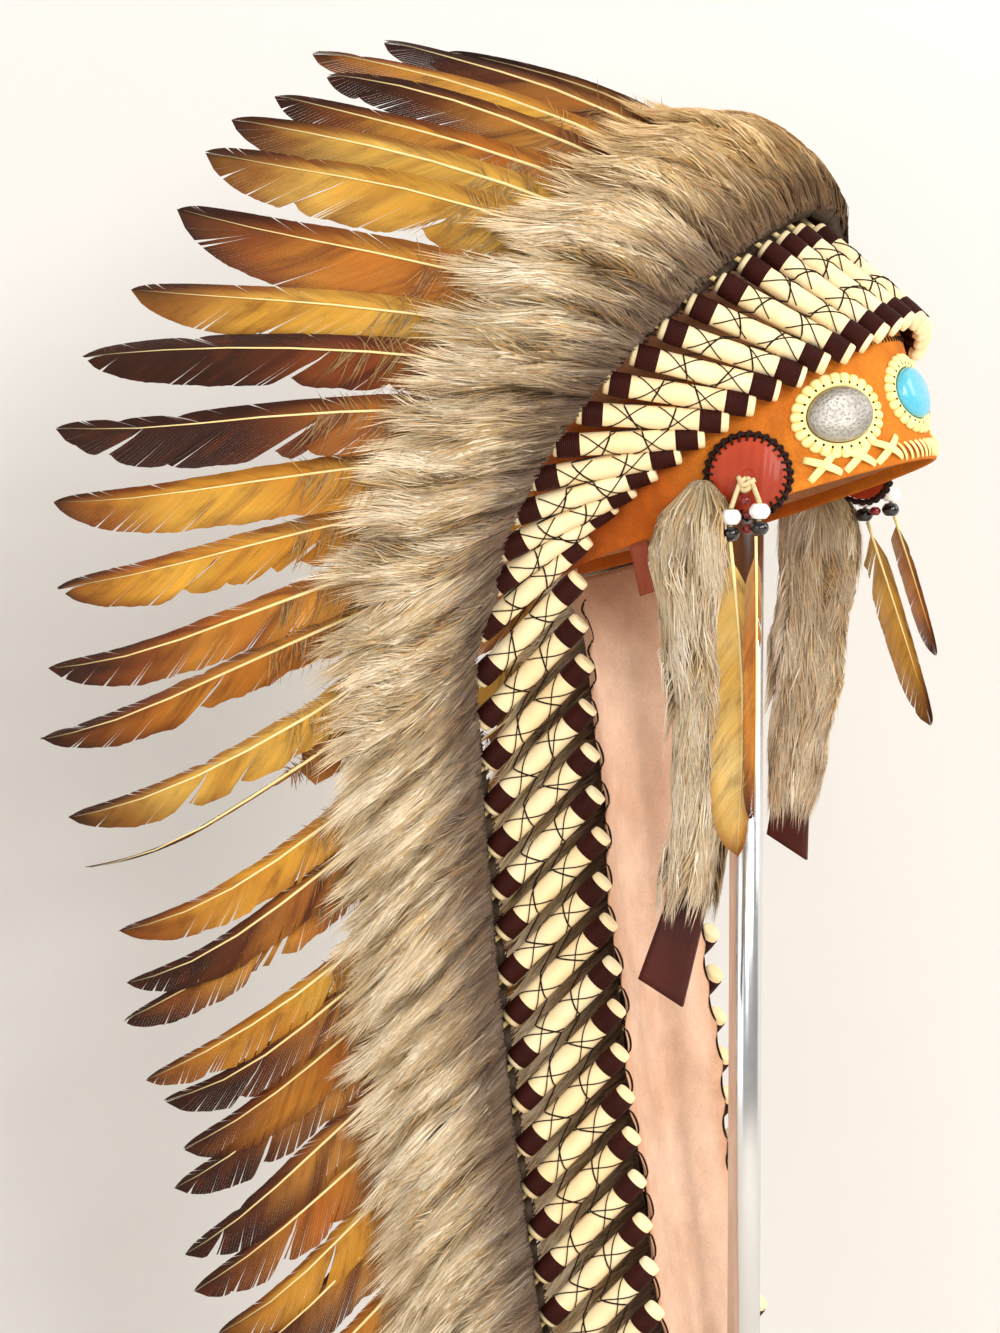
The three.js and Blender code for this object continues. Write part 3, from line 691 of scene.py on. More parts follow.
class Finishes:
    """Every finish on the headdress and its stand."""

    SUEDE_BAND = Suede("Orange suede", "band_suede", "DE8426", "B65B15", 26, 0.6, 0.9, painted=True, shine=0.25)
    SUEDE_CAP = Suede("Cap suede", "cap_suede", "C98A5A", "A8673A", 18, 0.5, 0.9, sheen=0.1)
    SUEDE_TRAILER = Suede(
        "Trailer suede", "trailer_suede", "E8C2A8", "CE9E80", 14, 0.7, 0.9, fleck=0.2, shine=0.2, painted=True
    )
    ROD = Finish("Wrapped rod", "wrapped_rod", "FAE9C0", "EED199", 60, 0.5, 0.6, bump=0.25, painted=True, shine=0.3)
    WRAP = Wound("Dark winding", "wrapped_rod", "3A120B", "240A06", 90, 0.5, 0.6, bump=0.8, pitch=1.0, shine=0.12)
    THREAD = Wound("Olive thread", "wrapped_rod", "2C1A10", "1E120C", 120, 0.4, 0.8, bump=0.6, pitch=0.7, shine=0.2)
    FEATHER = Vane("Feather web", "feather", "FFFFFF", "5A2508", 30, 0.0, 0.6, bump=0.3, painted=True, shine=0.2)
    SHAFT = Finish("Feather shaft", "feather", "FBE6A6", "E9C56C", 50, 0.4, 0.3, coat=0.25, bump=0.1, painted=True)
    FUR = Finish("Rabbit fur", "fur", "FFFFFF", "C4B49E", 28, 0.5, 0.95, bump=0.1, painted=True, shine=0.15)
    UNDERFUR = Finish(
        "Fur down", "fur", "7A6857", "4E3F32", 60, 0.7, 0.95, bump=0.8, bump_depth=0.001, painted=True, shine=0.1
    )
    TURQUOISE = Finish("Turquoise", "turquoise", "46AECF", "74CBE0", 90, 0.35, 0.28, coat=0.5, bump=0.12)
    SILVER = Hammered(
        "Hammered silver", "hammered_silver", "B4B0A8", "6E6A62", 40, 0.3, 0.5, 0.8, bump=0.45, bump_depth=0.0004,
        dents=620,
    )
    WHIP = Finish("Pale whip leather", "whip_stitch", "FFF2A6", "EBCB6A", 120, 0.4, 0.62, bump=0.3, painted=True)
    ROSETTE = Finish(
        "Red glossy leather", "rosette_leather", "B0380A", "8A2405", 30, 0.6, 0.5, coat=0.08, bump=0.3, shine=0.3
    )
    BINDING = Wound("Dark binding", "dark_binding", "2B120B", "140603", 90, 0.4, 0.7, bump=0.5, shine=0.25)
    LACE = Suede("Cream lace", "lace", "F4E0AC", "D9B878", 80, 0.4, 0.75, painted=True)
    WHITE_BEAD = Finish("White bead", "white_bead", "FBFBF9", "E9E6E0", 200, 0.3, 0.22, coat=0.4, bump=0.05)
    BLACK_BEAD = Finish("Black bead", "black_bead", "0C0B0C", "1C1A1C", 200, 0.3, 0.16, coat=0.5, bump=0.05)
    RED_BEAD = Finish("Red bead", "red_bead", "7C150F", "4A0A08", 200, 0.4, 0.25, coat=0.4, bump=0.1)
    DARK_LEATHER = Finish(
        "Dark leather", "dark_leather", "44160E", "210906", 45, 0.6, 0.6, bump=0.6, painted=True, shine=0.3
    )
    STRAP = Finish("Brown strap", "strap_leather", "9A4426", "6E2815", 50, 0.5, 0.65, bump=0.4)
    STEEL = Finish("Bright steel", "steel_tube", "D6D8DB", "BFC2C6", 12, 0.3, 0.2, 1.0, bump=0.03)
    PLATE = Finish("Stand plate", "stand_plate", "B9BCC0", "A4A7AB", 14, 0.3, 0.42, 0.6, bump=0.1)


# ------------------------------------------------------------- head and row


@dataclass(frozen=True)
class Head:
    """The tilted ellipse that the brow band follows."""

    z: float = 694
    tilt: float = math.radians(18.3)
    half_length: float = 98
    half_width: float = 78

    @property
    def axes(self) -> Array:
        """Rows: forwards, to the wearer's right, and up along the band."""
        c, s = math.cos(self.tilt), math.sin(self.tilt)
        return np.array([[0, -c, s], [-1, 0, 0], [0, s, c]])

    def at(self, turn: Array, height: Array, out: Array) -> Array:
        """A place by the band.

        Args:
            turn: angle from the middle of the brow towards the right ear.
            height: distance above the band's lower edge.
            out: distance off its outer face.

        Returns:
            Points, three to a row.
        """
        turn, height, out = aligned(turn, height, out)
        local = np.stack([(self.half_length + out) * np.cos(turn), (self.half_width + out) * np.sin(turn), height], -1)
        return np.array([0, 0, self.z]) + local @ self.axes

    def reach(self, turn: float) -> float:
        """Length along the band for one radian of turn."""
        return math.hypot(self.half_length * math.sin(turn), self.half_width * math.cos(turn))

    def wrap(self, points: Array, turn: float, height: float, out: float) -> Array:
        """Bends a flat shape (x along the band, y up, z outwards) round the band."""
        p = np.asarray(points, float)
        return self.at(turn + p[:, 0] / self.reach(turn), height + p[:, 1], out + p[:, 2])


HEAD = Head()


@dataclass(frozen=True)
class QuillRow:
    """The line of quills from the brow to the tail: where each stands and how it leans."""

    count: int = 35
    crown_count: int = 15
    front: float = 63.5
    trailer_seat: Table = Table(
        "rod x y z",
        (
            (13, -82, 31, 712), (15, -76.5, 58.5, 681.5), (16, -71, 63, 662), (18, -64, 63, 621), (21, -62, 57, 559),
            (24, -62, 51, 497), (27, -62, 44, 435), (30, -62, 35, 374), (34, -62, 22, 290),
        ),
    )
    lean: Table = Table(
        "rod lift flare bend length",
        (
            (0, 38, 7, -15, 230), (3, 33, 16, -13, 234), (6, 19, 23, -8, 238), (9, 3, 23, -5, 238),
            (12, -18, 19, -1, 236), (15, -42, 14, 8, 230), (18, -46, 12, 8, 222), (22, -45, 12, 3, 212),
            (28, -46, 12, 0, 206), (34, -47, 12, 0, 200),
        ),
    )

    def seat(self, rod: Array) -> Array:
        """The middle of each rod's inner wrap."""
        rod = np.asarray(rod, float)
        crown = HEAD.at(np.radians(5 + 7.6 * rod), 70 - 1.9 * rod - 0.125 * rod * rod, 8.2)
        tail = np.stack([self.trailer_seat.read(axis, rod) for axis in "xyz"], -1)
        return np.where((rod <= self.crown_count - 1)[..., None], crown, tail)

    def heading(self, rod: Array, lift: Array) -> Array:
        """The unit direction at a lift above level, flared away from the middle."""
        flare = np.radians(self.lean.read("flare", rod))
        level = np.cos(lift)
        return np.stack([-np.sin(flare) * level, np.cos(flare) * level, np.sin(lift)], -1)

    def quill(self, rod: Array, s: Array) -> Array:
        """Points on a rod or its feather, s along from the middle of the inner wrap."""
        rod, s = aligned(rod, s)
        lift = np.radians(self.lean.read("lift", rod))
        point = self.seat(rod) + self.heading(rod, lift) * np.minimum(s, self.front)[..., None]
        past = np.maximum(s - self.front, 0)
        turn = 2 * np.radians(self.lean.read("bend", rod)) / self.lean.read("length", rod)
        for i in range(4):
            point = point + self.heading(rod, lift + turn * past * (i + 0.5) / 4) * (past / 4)[..., None]
        return point

    def axes(self, rod: Array, s: Array) -> tuple[Array, Array, Array]:
        """Directions along the quill, across the row, and outwards."""
        forward = unit(self.quill(rod, s + 1) - self.quill(rod, s - 1))
        rowwards = self.quill(rod + 0.5, s) - self.quill(rod - 0.5, s)
        outward = unit(np.cross(forward, rowwards))
        return forward, np.cross(outward, forward), outward

    def off(self, rod: Array, s: Array, sideways: Array, outwards: Array) -> Array:
        """Points set off from a quill, across the row and outwards."""
        rod, s, sideways, outwards = aligned(rod, s, sideways, outwards)
        _, across, outward = self.axes(rod, s)
        return self.quill(rod, s) + across * sideways[..., None] + outward * outwards[..., None]


ROW = QuillRow()


@dataclass
class QuillRods:
    """The cream rods with a dark winding at each end, and the thread net that ties them."""

    radius: float = 5.4
    wrap_radius: float = 5.95
    wrap_half: float = 5.3
    wraps: tuple[float, float] = (0.0, 55.0)
    back: float = -8.5
    front: float = 63.0
    corners: int = 14
    lines: tuple[float, float] = (18.5, 37.5)
    sway: float = 3.2
    crosses: tuple[tuple[float, float], ...] = ((6.5, 24), (31, 49))
    grip: float = 1.25
    knots: int = 7
    seed: int = 11

    def rods(self, first: int, last: int, name: str) -> tuple[Draft, Draft]:
        """Drafts the cream rods from first to last, and their windings."""
        rng = np.random.default_rng(self.seed + first)
        cream, dark = Draft(f"rod_bodies_{name}"), Draft(f"rod_windings_{name}")
        back, front = self.back, self.front
        along = np.array([back, back + 0.25, back + 1.1, 0, 14, 28, 42, 55, front - 1.2, front - 0.3, front])
        girth = np.array([0.7, 0.9, 0.97, 1, 1.03, 1.0, 1.02, 1, 0.97, 0.88, 0.66])
        share = np.array([-1, -0.99, -0.9, -0.45, 0, 0.45, 0.9, 0.99, 1])
        swell = np.array([0.86, 0.95, 0.995, 1.01, 1.02, 1.01, 0.995, 0.95, 0.86])
        for rod in range(first, last + 1):
            slide = rng.normal(0, 0.5)
            warm_tone_and_shade = blend(WHITE, np.array([1.0, 0.86, 0.66]), rng.uniform(0, 0.45))
            cream.add(*sweep(ROW.quill(rod, along + slide), self.radius * girth, self.corners), warm_tone_and_shade)
            for at in self.wraps:
                half = self.wrap_half * rng.uniform(0.9, 1.1)
                middle = at + slide + rng.normal(0, 0.35)
                dark.add(*sweep(ROW.quill(rod, middle + half * share), self.wrap_radius * swell, self.corners))
        return cream, dark

    def thread(self, rods: Array, s: Array, lift: float, angle: Array) -> Array:
        """Points of a thread laid over the rods: angle 0 is a rod's outer side."""
        radius = self.radius + 0.35 + lift
        return ROW.off(rods, s, radius * np.sin(angle), radius * np.cos(angle))

    def net(self, name: str) -> Draft:
        """The net: two lines along the row, and a cross of thread on the face of each rod."""
        rng = np.random.default_rng(self.seed)
        draft = Draft(f"thread_net_{name}")
        over = np.linspace(-0.5 * np.pi, 0.5 * np.pi, self.knots)
        for line, middle in enumerate(self.lines):
            along = []
            for rod in range(ROW.count):
                sway = self.sway * (1 if (rod + line) % 2 else -1) + rng.normal(0, 0.8)
                along.append(middle + sway * np.sin(over))
            rods = np.repeat(np.arange(ROW.count, dtype=float), self.knots)
            path = self.thread(rods, np.concatenate(along), 0.0, np.tile(over * 0.92, ROW.count))
            draft.add(*sweep(path, 0.42, 5))
        crosses = []
        angle = np.linspace(-self.grip, self.grip, self.knots)
        for rod in range(ROW.count):
            for start, end in self.crosses:
                for low, high in ((start, end), (end, start)):
                    s = low + (high - low) * (angle + self.grip) / (2 * self.grip) + rng.normal(0, 0.9)
                    crosses.append(self.thread(float(rod), s, 0.1, angle))
        return draft.add(*sweep(np.array(crosses), 0.3, 4))

    def build(self) -> None:
        """Makes the rods, windings and net on both sides."""
        spans = (("crown", 0, ROW.crown_count - 1), ("trailer", ROW.crown_count, ROW.count - 1))
        for side in Side:
            for part, first, last in spans:
                cream, dark = self.rods(first, last, f"{part}_{side.word}")
                node = f"quill_rods_{part}_{side.word}"
                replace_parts(cream.piece(Finishes.ROD, side, solid=True), node)
                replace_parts(dark.piece(Finishes.WRAP, side, solid=True), node)
                LOG.info("rods and windings of the %s, %s side", part, side.word)
            self.net(side.word).piece(Finishes.THREAD, side)
            LOG.info("thread net, %s side", side.word)


# ----------------------------------------------------------------- feathers


@dataclass(frozen=True)
class Plumage:
    """The colours of one feather, from its downy foot to its tip."""

    foot: str = "9A8258"
    web: str = "C88F2E"
    glow: str = "E3B04C"
    edge: str = "8A4A16"
    tip: str = "241008"
    tip_length: float = 0.14
    mottle: float = 0.5


@dataclass
class Feather:
    """One feather: a shaft, and two webs of barbs that part here and there."""

    length: float
    width: float
    narrow: float = 0.4
    barbs: int = 84
    start: float = 0.1
    splits: float = 0.04
    curl: float = 0.8
    cup: float = 2.0
    shaft: float = 1.3
    plumage: Plumage = Plumage()
    ragged: float = 0.06
    bare: float = 1.0

    BROAD = Table(
        "at width",
        ((0, 0.5), (0.1, 0.74), (0.3, 0.95), (0.5, 1.0), (0.7, 0.98), (0.82, 0.9), (0.9, 0.74), (0.955, 0.5),
         (0.985, 0.26), (1, 0)),
    )
    NARROW = Table(
        "at width",
        ((0, 0.6), (0.2, 1.0), (0.5, 0.9), (0.7, 0.78), (0.86, 0.64), (0.95, 0.45), (0.985, 0.22), (1, 0)),
    )
    LAST_FOOT = 0.985  # where the last barb leaves the shaft
    WHOLE_TIP = 9  # barbs at the tip that never part

    def web(self, sign: int, rng: np.random.Generator) -> tuple[Array, Array, Array, Array]:
        """The barbs on one side of the shaft.

        Args:
            sign: -1 for the narrow web and 1 for the broad one.
            rng: the feather's own chance.

        Returns:
            Station, sideways and outwards for each point; quads; colours; surface coordinates.
        """
        broad = sign > 0
        outline = self.BROAD if broad else self.NARROW
        wide = self.width * ((1 - self.narrow) if broad else self.narrow)
        n = self.barbs
        feet = self.start + (self.LAST_FOOT - self.start) * (np.arange(n + 1) / n) ** 0.95
        root = feet[:-1]
        parted = rng.random(n + 1) < self.splits * (1.0 if broad else 0.3)
        parted[n // 2 + 3 :] &= rng.random(n + 1)[n // 2 + 3 :] < 0.6
        parted[-self.WHOLE_TIP :] = False
        clump = np.cumsum(parted)[:-1]
        clumps = int(clump[-1]) + 1
        swing = rng.normal(0, 0.13 if broad else 0.05, clumps)[clump]
        rise = rng.normal(0, self.curl, clumps)[clump]
        inside = np.arange(n) - np.searchsorted(clump, clump)
        size = np.bincount(clump)[clump]
        end = np.minimum(inside, size - 1 - inside)
        worn = 1 - 0.22 * np.exp(-end / 1.5) * (size < n) - rng.uniform(0, 0.02, n)
        worn -= self.ragged * (0.5 + 0.5 * drift(root * 40, self.width)) * np.clip(1.25 - root, 0, 1)
        if self.bare < 1:
            worn = np.where(root > self.bare, 0.16, worn)
            worn = worn * np.where(np.abs(root - self.bare) < 0.07, 1.3, 1)
        slant = (1.3 if broad else 2.1) * (1 + swing)
        tip = root
        for _ in range(7):
            tip = root + slant * wide * outline.read("width", np.clip(tip, 0, 1)) / self.length
        tip = np.minimum(tip, 1.0)
        reach = wide * outline.read("width", tip) * worn
        f = np.array([0.0, 0.35, 0.7, 1.0])[None, :, None]
        foot = np.stack([root, feet[1:]], -1)[:, None]
        joined = np.append(clump[1:] == clump[:-1], False)
        step = feet[1:] - root
        next_tip = np.where(joined, np.append(tip[1:], 1.0), np.minimum(tip + 0.5 * step, 1.0))
        next_reach = np.where(joined, np.append(reach[1:], 0.0), reach * 0.97)
        next_tip[-1], next_reach[-1] = 1.0, 0.0
        frayed = joined & (rng.random(n) < 0.08 + 0.5 * self.ragged)
        share = np.where(frayed, rng.uniform(0.2, 0.8, n), 1.0)[:, None]
        ends = np.stack([tip, next_tip], -1)[:, None]
        spans = np.stack([reach, next_reach], -1)[:, None]
        drawn = f**4 * (1 - share[..., None]) * np.array([0.0, 1.0])
        t = foot + (ends - foot) * f**1.2
        t = np.minimum(t + (t[..., :1] - t) * drawn, 1.001)
        u = spans * f
        u = u + (u[..., :1] - u) * drawn
        v = -self.cup * f**2 * (wide / self.width) * 1.6 + f**2 * rise[:, None, None]
        v = v + np.array([0.05, -0.05]) * f
        points = np.stack([t, sign * u, v], -1).reshape(-1, 3)
        cell = np.array([[0, 1, 3, 2], [2, 3, 5, 4], [4, 5, 7, 6]])
        quads = (cell[None] + (np.arange(n) * 8)[:, None, None]).reshape(-1, 4)
        across = np.broadcast_to(f, t.shape).reshape(-1)
        lane = np.broadcast_to(foot, t.shape).reshape(-1) * self.length + 500 * rng.random()
        tone = np.repeat(rng.normal(0, 0.5, n) + rng.normal(0, 0.6, clumps)[clump], 8)
        color = self.paint(points[:, 0], across, tone, broad, rng)
        return points, quads, color, np.stack([lane, sign * across], -1)

    def paint(self, at: Array, across: Array, tone: Array, broad: bool, rng: np.random.Generator) -> Array:
        """Colours of the web: gold, darker to the edge, mottled, with a dark tip."""
        p = self.plumage
        seed = rng.uniform(0, 60)
        color = blend(linear(p.web), linear(p.glow), np.clip(0.45 + 0.6 * drift(at * 7, seed), 0, 1))
        rim = np.clip((across - (0.72 if broad else 0.45)) / 0.28, 0, 1) * np.clip(0.35 + at * 0.8, 0, 1)
        uneven = np.clip(0.7 + 0.6 * drift(at * 13, seed + 9), 0, 1)
        color = blend(color, linear(p.edge), rim * (0.55 if broad else 0.9) * uneven)
        spots = drift(at * 26 - across * 3.2, seed + 3) + 0.3 * drift(at * 60 - across * 6, seed) + 0.15 * tone
        color = blend(color, linear(p.edge), p.mottle * np.clip(spots * 1.6 - 0.35, 0, 1))
        foot = np.clip((0.4 - at) / 0.2, 0, 1) * (0.4 + 0.6 * across)
        color = blend(color, linear(p.foot), 0.7 * foot)
        end = 1 - p.tip_length + 0.06 * drift(across * 3, seed + 5) * broad - (0 if broad else 0.12 * across)
        dark = np.clip((at - end) / 0.1, 0, 1) ** 1.3
        color = blend(color, linear(p.edge), 0.8 * np.clip((at - end + 0.14) / 0.14, 0, 1))
        return blend(color, linear(p.tip), 0.94 * dark) * (1 + 0.07 * tone)[:, None].clip(0.6, 1.4)

    def down(self, rng: np.random.Generator, count: int) -> tuple[Array, Array, Array]:
        """Loose downy barbs at the feather's foot: points, triangles and colours."""
        at = 0.14 + 0.36 * rng.random(count) ** 1.3
        side = np.where(rng.random(count) < 0.28, -1, 1)
        out = self.width * rng.uniform(0.35, 1.0, count) * (1.2 - at) * np.where(side > 0, 1, 0.5)
        step = np.array([0.0, 0.55, 1.0])
        t = at[:, None] + (out / self.length * rng.uniform(0.3, 1.1, count))[:, None] * step
        u = side[:, None] * out[:, None] * step**0.9
        v = rng.normal(0, 3.5, count)[:, None] * step**1.5
        core = np.stack([t, u, v], -1)
        half = np.array([0.34, 0.3])[None, :, None] * np.array([1 / self.length, 0, 0.3])[None, None]
        points = np.stack([core[:, 0] - half[:, 0], core[:, 0] + half[:, 0], core[:, 1] - half[:, 1],
                           core[:, 1] + half[:, 1], core[:, 2]], 1)
        warm_tone_and_shade = blend(linear(self.plumage.foot), linear(self.plumage.web), rng.uniform(0, 0.8, count))
        color = np.repeat(warm_tone_and_shade * rng.uniform(0.7, 1.25, (count, 1)), 5, axis=0)
        return points.reshape(-1, 3), blades(count), color

    def add_to(self, webs: Draft, shafts: Draft, place: Callable[[Array, Array, Array], Array],
               rng: np.random.Generator, down: int = 0) -> None:
        """Adds the feather to the drafts of webs and shafts.

        Args:
            webs: gathers the barbs.
            shafts: gathers the shaft.
            place: turns station, sideways and outwards into points.
            rng: the feather's own chance.
            down: how many loose downy barbs it has.
        """
        for sign in (-1, 1):
            points, quads, color, uv = self.web(sign, rng)
            webs.add(place(*points.T), [quads], uv, color)
        if down:
            points, tris, color = self.down(rng, down)
            webs.add(place(*points.T), [tris], points[:, :2] * np.array([self.length, 0.1]), color)
        at = np.array([0, 0.15, 0.3, 0.45, 0.6, 0.72, 0.84, 0.93, 0.985])
        size = self.shaft * (1 - 0.86 * at**1.1)
        path = place(at, np.zeros(9), np.full(9, 0.25))
        points, faces, uv = sweep(path, size, 6, 0.75)
        ring = np.concatenate([np.repeat(at, 6), [at[0], at[-1]]])
        color = blend(WHITE, linear(self.plumage.tip) * 1.5, 0.85 * np.clip((ring - 0.8) / 0.18, 0, 1))
        shafts.add(points, faces, uv, color)


@dataclass
class FeatherRow:
    """The long feathers of the row, one for each rod."""

    width: float = 25.5
    roll: float = math.radians(14)
    seed: int = 5

    GOLD = Plumage(web="B97B22", glow="D09E3C", edge="70330B", mottle=0.35, tip_length=0.07)
    PALE = Plumage(web="BE8C30", glow="D3AB52", edge="763F10", mottle=0.4, tip_length=0.12)
    AMBER = Plumage(web="A45E1B", glow="C08830", edge="5C260B", mottle=0.65, tip_length=0.17)
    BROWN = Plumage(web="86491A", glow="AE7630", edge="421B0A", mottle=0.85, tip_length=0.24, foot="8A7048")
    DARK = Plumage(web="7A3A14", glow="B06E28", edge="40180B", mottle=0.8, tip_length=0.42)
    FIRST_WIDTHS = (31, 25, 28, 29, 33, 37, 28, 28, 30, 28, 27, 25, 24, 23, 15, 22, 21, 22, 21)  # from rod 1
    DRESS = (
        BROWN, GOLD, BROWN, AMBER, PALE, PALE, AMBER, PALE, DARK, DARK, GOLD, GOLD, AMBER, AMBER, PALE, BROWN, GOLD,
    )
    LONG_ROD, LONG = 1, 1.12  # one feather near the brow is longer than its neighbours
    WORN_ROD, WORN_FROM = 15, 0.42  # and one has lost its web from here on

    def feather(self, rod: int) -> Feather:
        """The feather of one rod, in its size and colours."""
        rng = np.random.default_rng([self.seed + 1, rod])
        length = float(ROW.lean.read("length", rod)) * (1 + 0.03 * math.sin(5 * rod))
        length *= self.LONG if rod == self.LONG_ROD else 1.0
        width = self.width * (1 + 0.08 * math.sin(3 * rod))
        if 1 <= rod <= len(self.FIRST_WIDTHS):
            width = self.FIRST_WIDTHS[rod - 1]
        plumage = (self.GOLD, self.AMBER, self.BROWN)[rng.choice(3, p=(0.25, 0.35, 0.4))]
        if rod < len(self.DRESS):
            plumage = self.DRESS[rod]
        worn = rod == self.WORN_ROD
        splits = 0.0 if worn else float(rng.choice((0.015, 0.03, 0.06)))
        ragged = float(rng.uniform(0.02, 0.12)) + (0.12 if rod >= 11 else 0)
        bare = self.WORN_FROM if worn else 1.0
        return Feather(
            length, width, narrow=0.29, barbs=92, splits=splits, ragged=ragged, plumage=plumage, bare=bare
        )

    def build(self) -> None:
        """Makes the webs and shafts on both sides."""
        for side in Side:
            webs, shafts = Draft(f"feather_webs_{side.word}"), Draft(f"feather_shafts_{side.word}")
            for rod in range(ROW.count):
                rng = np.random.default_rng([self.seed, rod, side.value + 1])
                feather = self.feather(rod)
                roll = self.roll - 0.72 * np.clip((9.5 - rod) / 5, 0, 1) + rng.normal(0, 0.14)
                c, s = math.cos(roll), math.sin(roll)
                bow = rng.normal(0, 2.5)
                hook = rng.normal(-3.0, 3.0) - (3 if rod >= 9 else 0)
                yaw = rng.normal(0, 0.018)

                def place(at: Array, u: Array, v: Array, rod: int = rod, length: float = feather.length) -> Array:
                    """Puts a feather's points on its quill, bowed and hooked at the tip."""
                    past = np.maximum(at - 0.72, 0) / 0.28
                    u = u + bow * np.sin(np.pi * np.clip(at, 0, 1)) + hook * past**2 + yaw * at * length
                    return ROW.off(float(rod), ROW.front + at * length, u * c - v * s, u * s + v * c)

                feather.add_to(webs, shafts, place, rng, down=260)
            node = f"feather_row_{side.word}"
            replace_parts(webs.piece(Finishes.FEATHER, side), node)
            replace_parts(shafts.piece(Finishes.SHAFT, side, solid=True), node)
            LOG.info("feathers, %s side", side.word)


# ---------------------------------------------------------------------- fur


@dataclass(frozen=True)
class Pelt:
    """The colours of a pelt, and the size of its hairs."""

    root: str = "523F2B"
    dark: str = "715A3E"
    middle: str = "CDB68A"
    light: str = "FFF3DA"
    tan: str = "D2A15E"
    tanned: float = 0.22
    length: float = 27.0
    half_width: float = 0.36
    lift: float = 3.2


LOCK_WIDTH, LOCK_LENGTH = 6.5, 23.0
LOCKS = 997  # different locks before they repeat


def hairs(
    surface: Callable[[Array, Array, Array], Array], across: Array, along: Array, reach: Array, pelt: Pelt,
    rng: np.random.Generator, tone: Array, lean_unit: float
) -> tuple[Array, Array, Array, Array]:
    """Hairs that grow on a surface and lie along it.

    Args:
        surface: turns across, along and height into points; along runs with the hair.
        across: where each hair grows across the flow.
        along: where it grows along the flow, in millimetres.
        reach: a hair's length, as a share of the pelt's.
        pelt: colours and sizes.
        rng: the pelt's own chance.
        tone: from dark, 0, to light, 1.
        lean_unit: how much of `across` makes a millimetre.

    Returns:
        Points, triangles, surface coordinates and colours.
    """
    n = len(across)
    length = pelt.length * reach * rng.uniform(0.7, 1.3, n)
    column = np.floor(across / lean_unit / LOCK_WIDTH + rng.normal(0, 0.15, n))
    row = np.floor(along / LOCK_LENGTH + rng.normal(0, 0.25, n))
    lock = np.random.default_rng(3).normal(0, 1, (LOCKS, 3))[(column.astype(int) * 131 + row.astype(int) * 17) % LOCKS]
    wave = 2.4 * drift(along * 0.06 + across * 0.5, 2.0) + 1.8 * drift(across / lean_unit * 0.09, 6.0)
    gather = (column + 0.5) * LOCK_WIDTH - across / lean_unit
    lean = 0.45 * gather + lock[:, 0] * 2.2 + wave + rng.normal(0, 1.3, n)
    lift = pelt.lift * (0.6 + 0.35 * lock[:, 1]).clip(0.05, 1.6) + rng.uniform(0, 1.6, n)
    step = np.array([0.0, 0.5, 1.0])
    x = across[:, None] + (lean * lean_unit)[:, None] * step**1.5
    y = along[:, None] + length[:, None] * step
    h = -0.4 + lift[:, None] * np.array([0.0, 0.62, 0.75])
    spine = surface(x, y, h)
    ahead = unit(spine[:, 2] - spine[:, 0])
    beside = surface(across + 0.8 * lean_unit, along, h[:, 0]) - spine[:, 0]
    out = unit(np.cross(ahead, beside))
    beside = np.cross(out, ahead)
    roll = rng.normal(0, 0.35, n)[:, None]
    flat = beside * np.cos(roll) + out * np.sin(roll)
    half = pelt.half_width * rng.uniform(0.6, 1.4, n)[:, None]
    points = np.stack([spine[:, 0] - flat * half, spine[:, 0] + flat * half, spine[:, 1] - flat * half * 0.85,
                       spine[:, 1] + flat * half * 0.85, spine[:, 2]], 1)
    tone = np.clip(tone + 0.15 * lock[:, 2] + rng.normal(0, 0.15, n), 0, 1)
    body = blend(linear(pelt.dark), linear(pelt.middle), np.clip(tone * 2, 0, 1))
    body = blend(body, linear(pelt.light), np.clip(tone * 2 - 1, 0, 1))
    body = np.where((rng.random(n) < pelt.tanned)[:, None], blend(body, linear(pelt.tan), 0.6), body)
    root = blend(body, linear(pelt.root), 0.55)
    tip = blend(body, linear(pelt.light), 0.5)
    colors = np.stack([root, root, body, body, tip], 1)
    uv = np.tile(np.array([[0, 0], [0, 1], [0.5, 0], [0.5, 1], [1, 0.5]]), (n, 1))
    return points.reshape(-1, 3), blades(n), uv, colors.reshape(-1, 3)


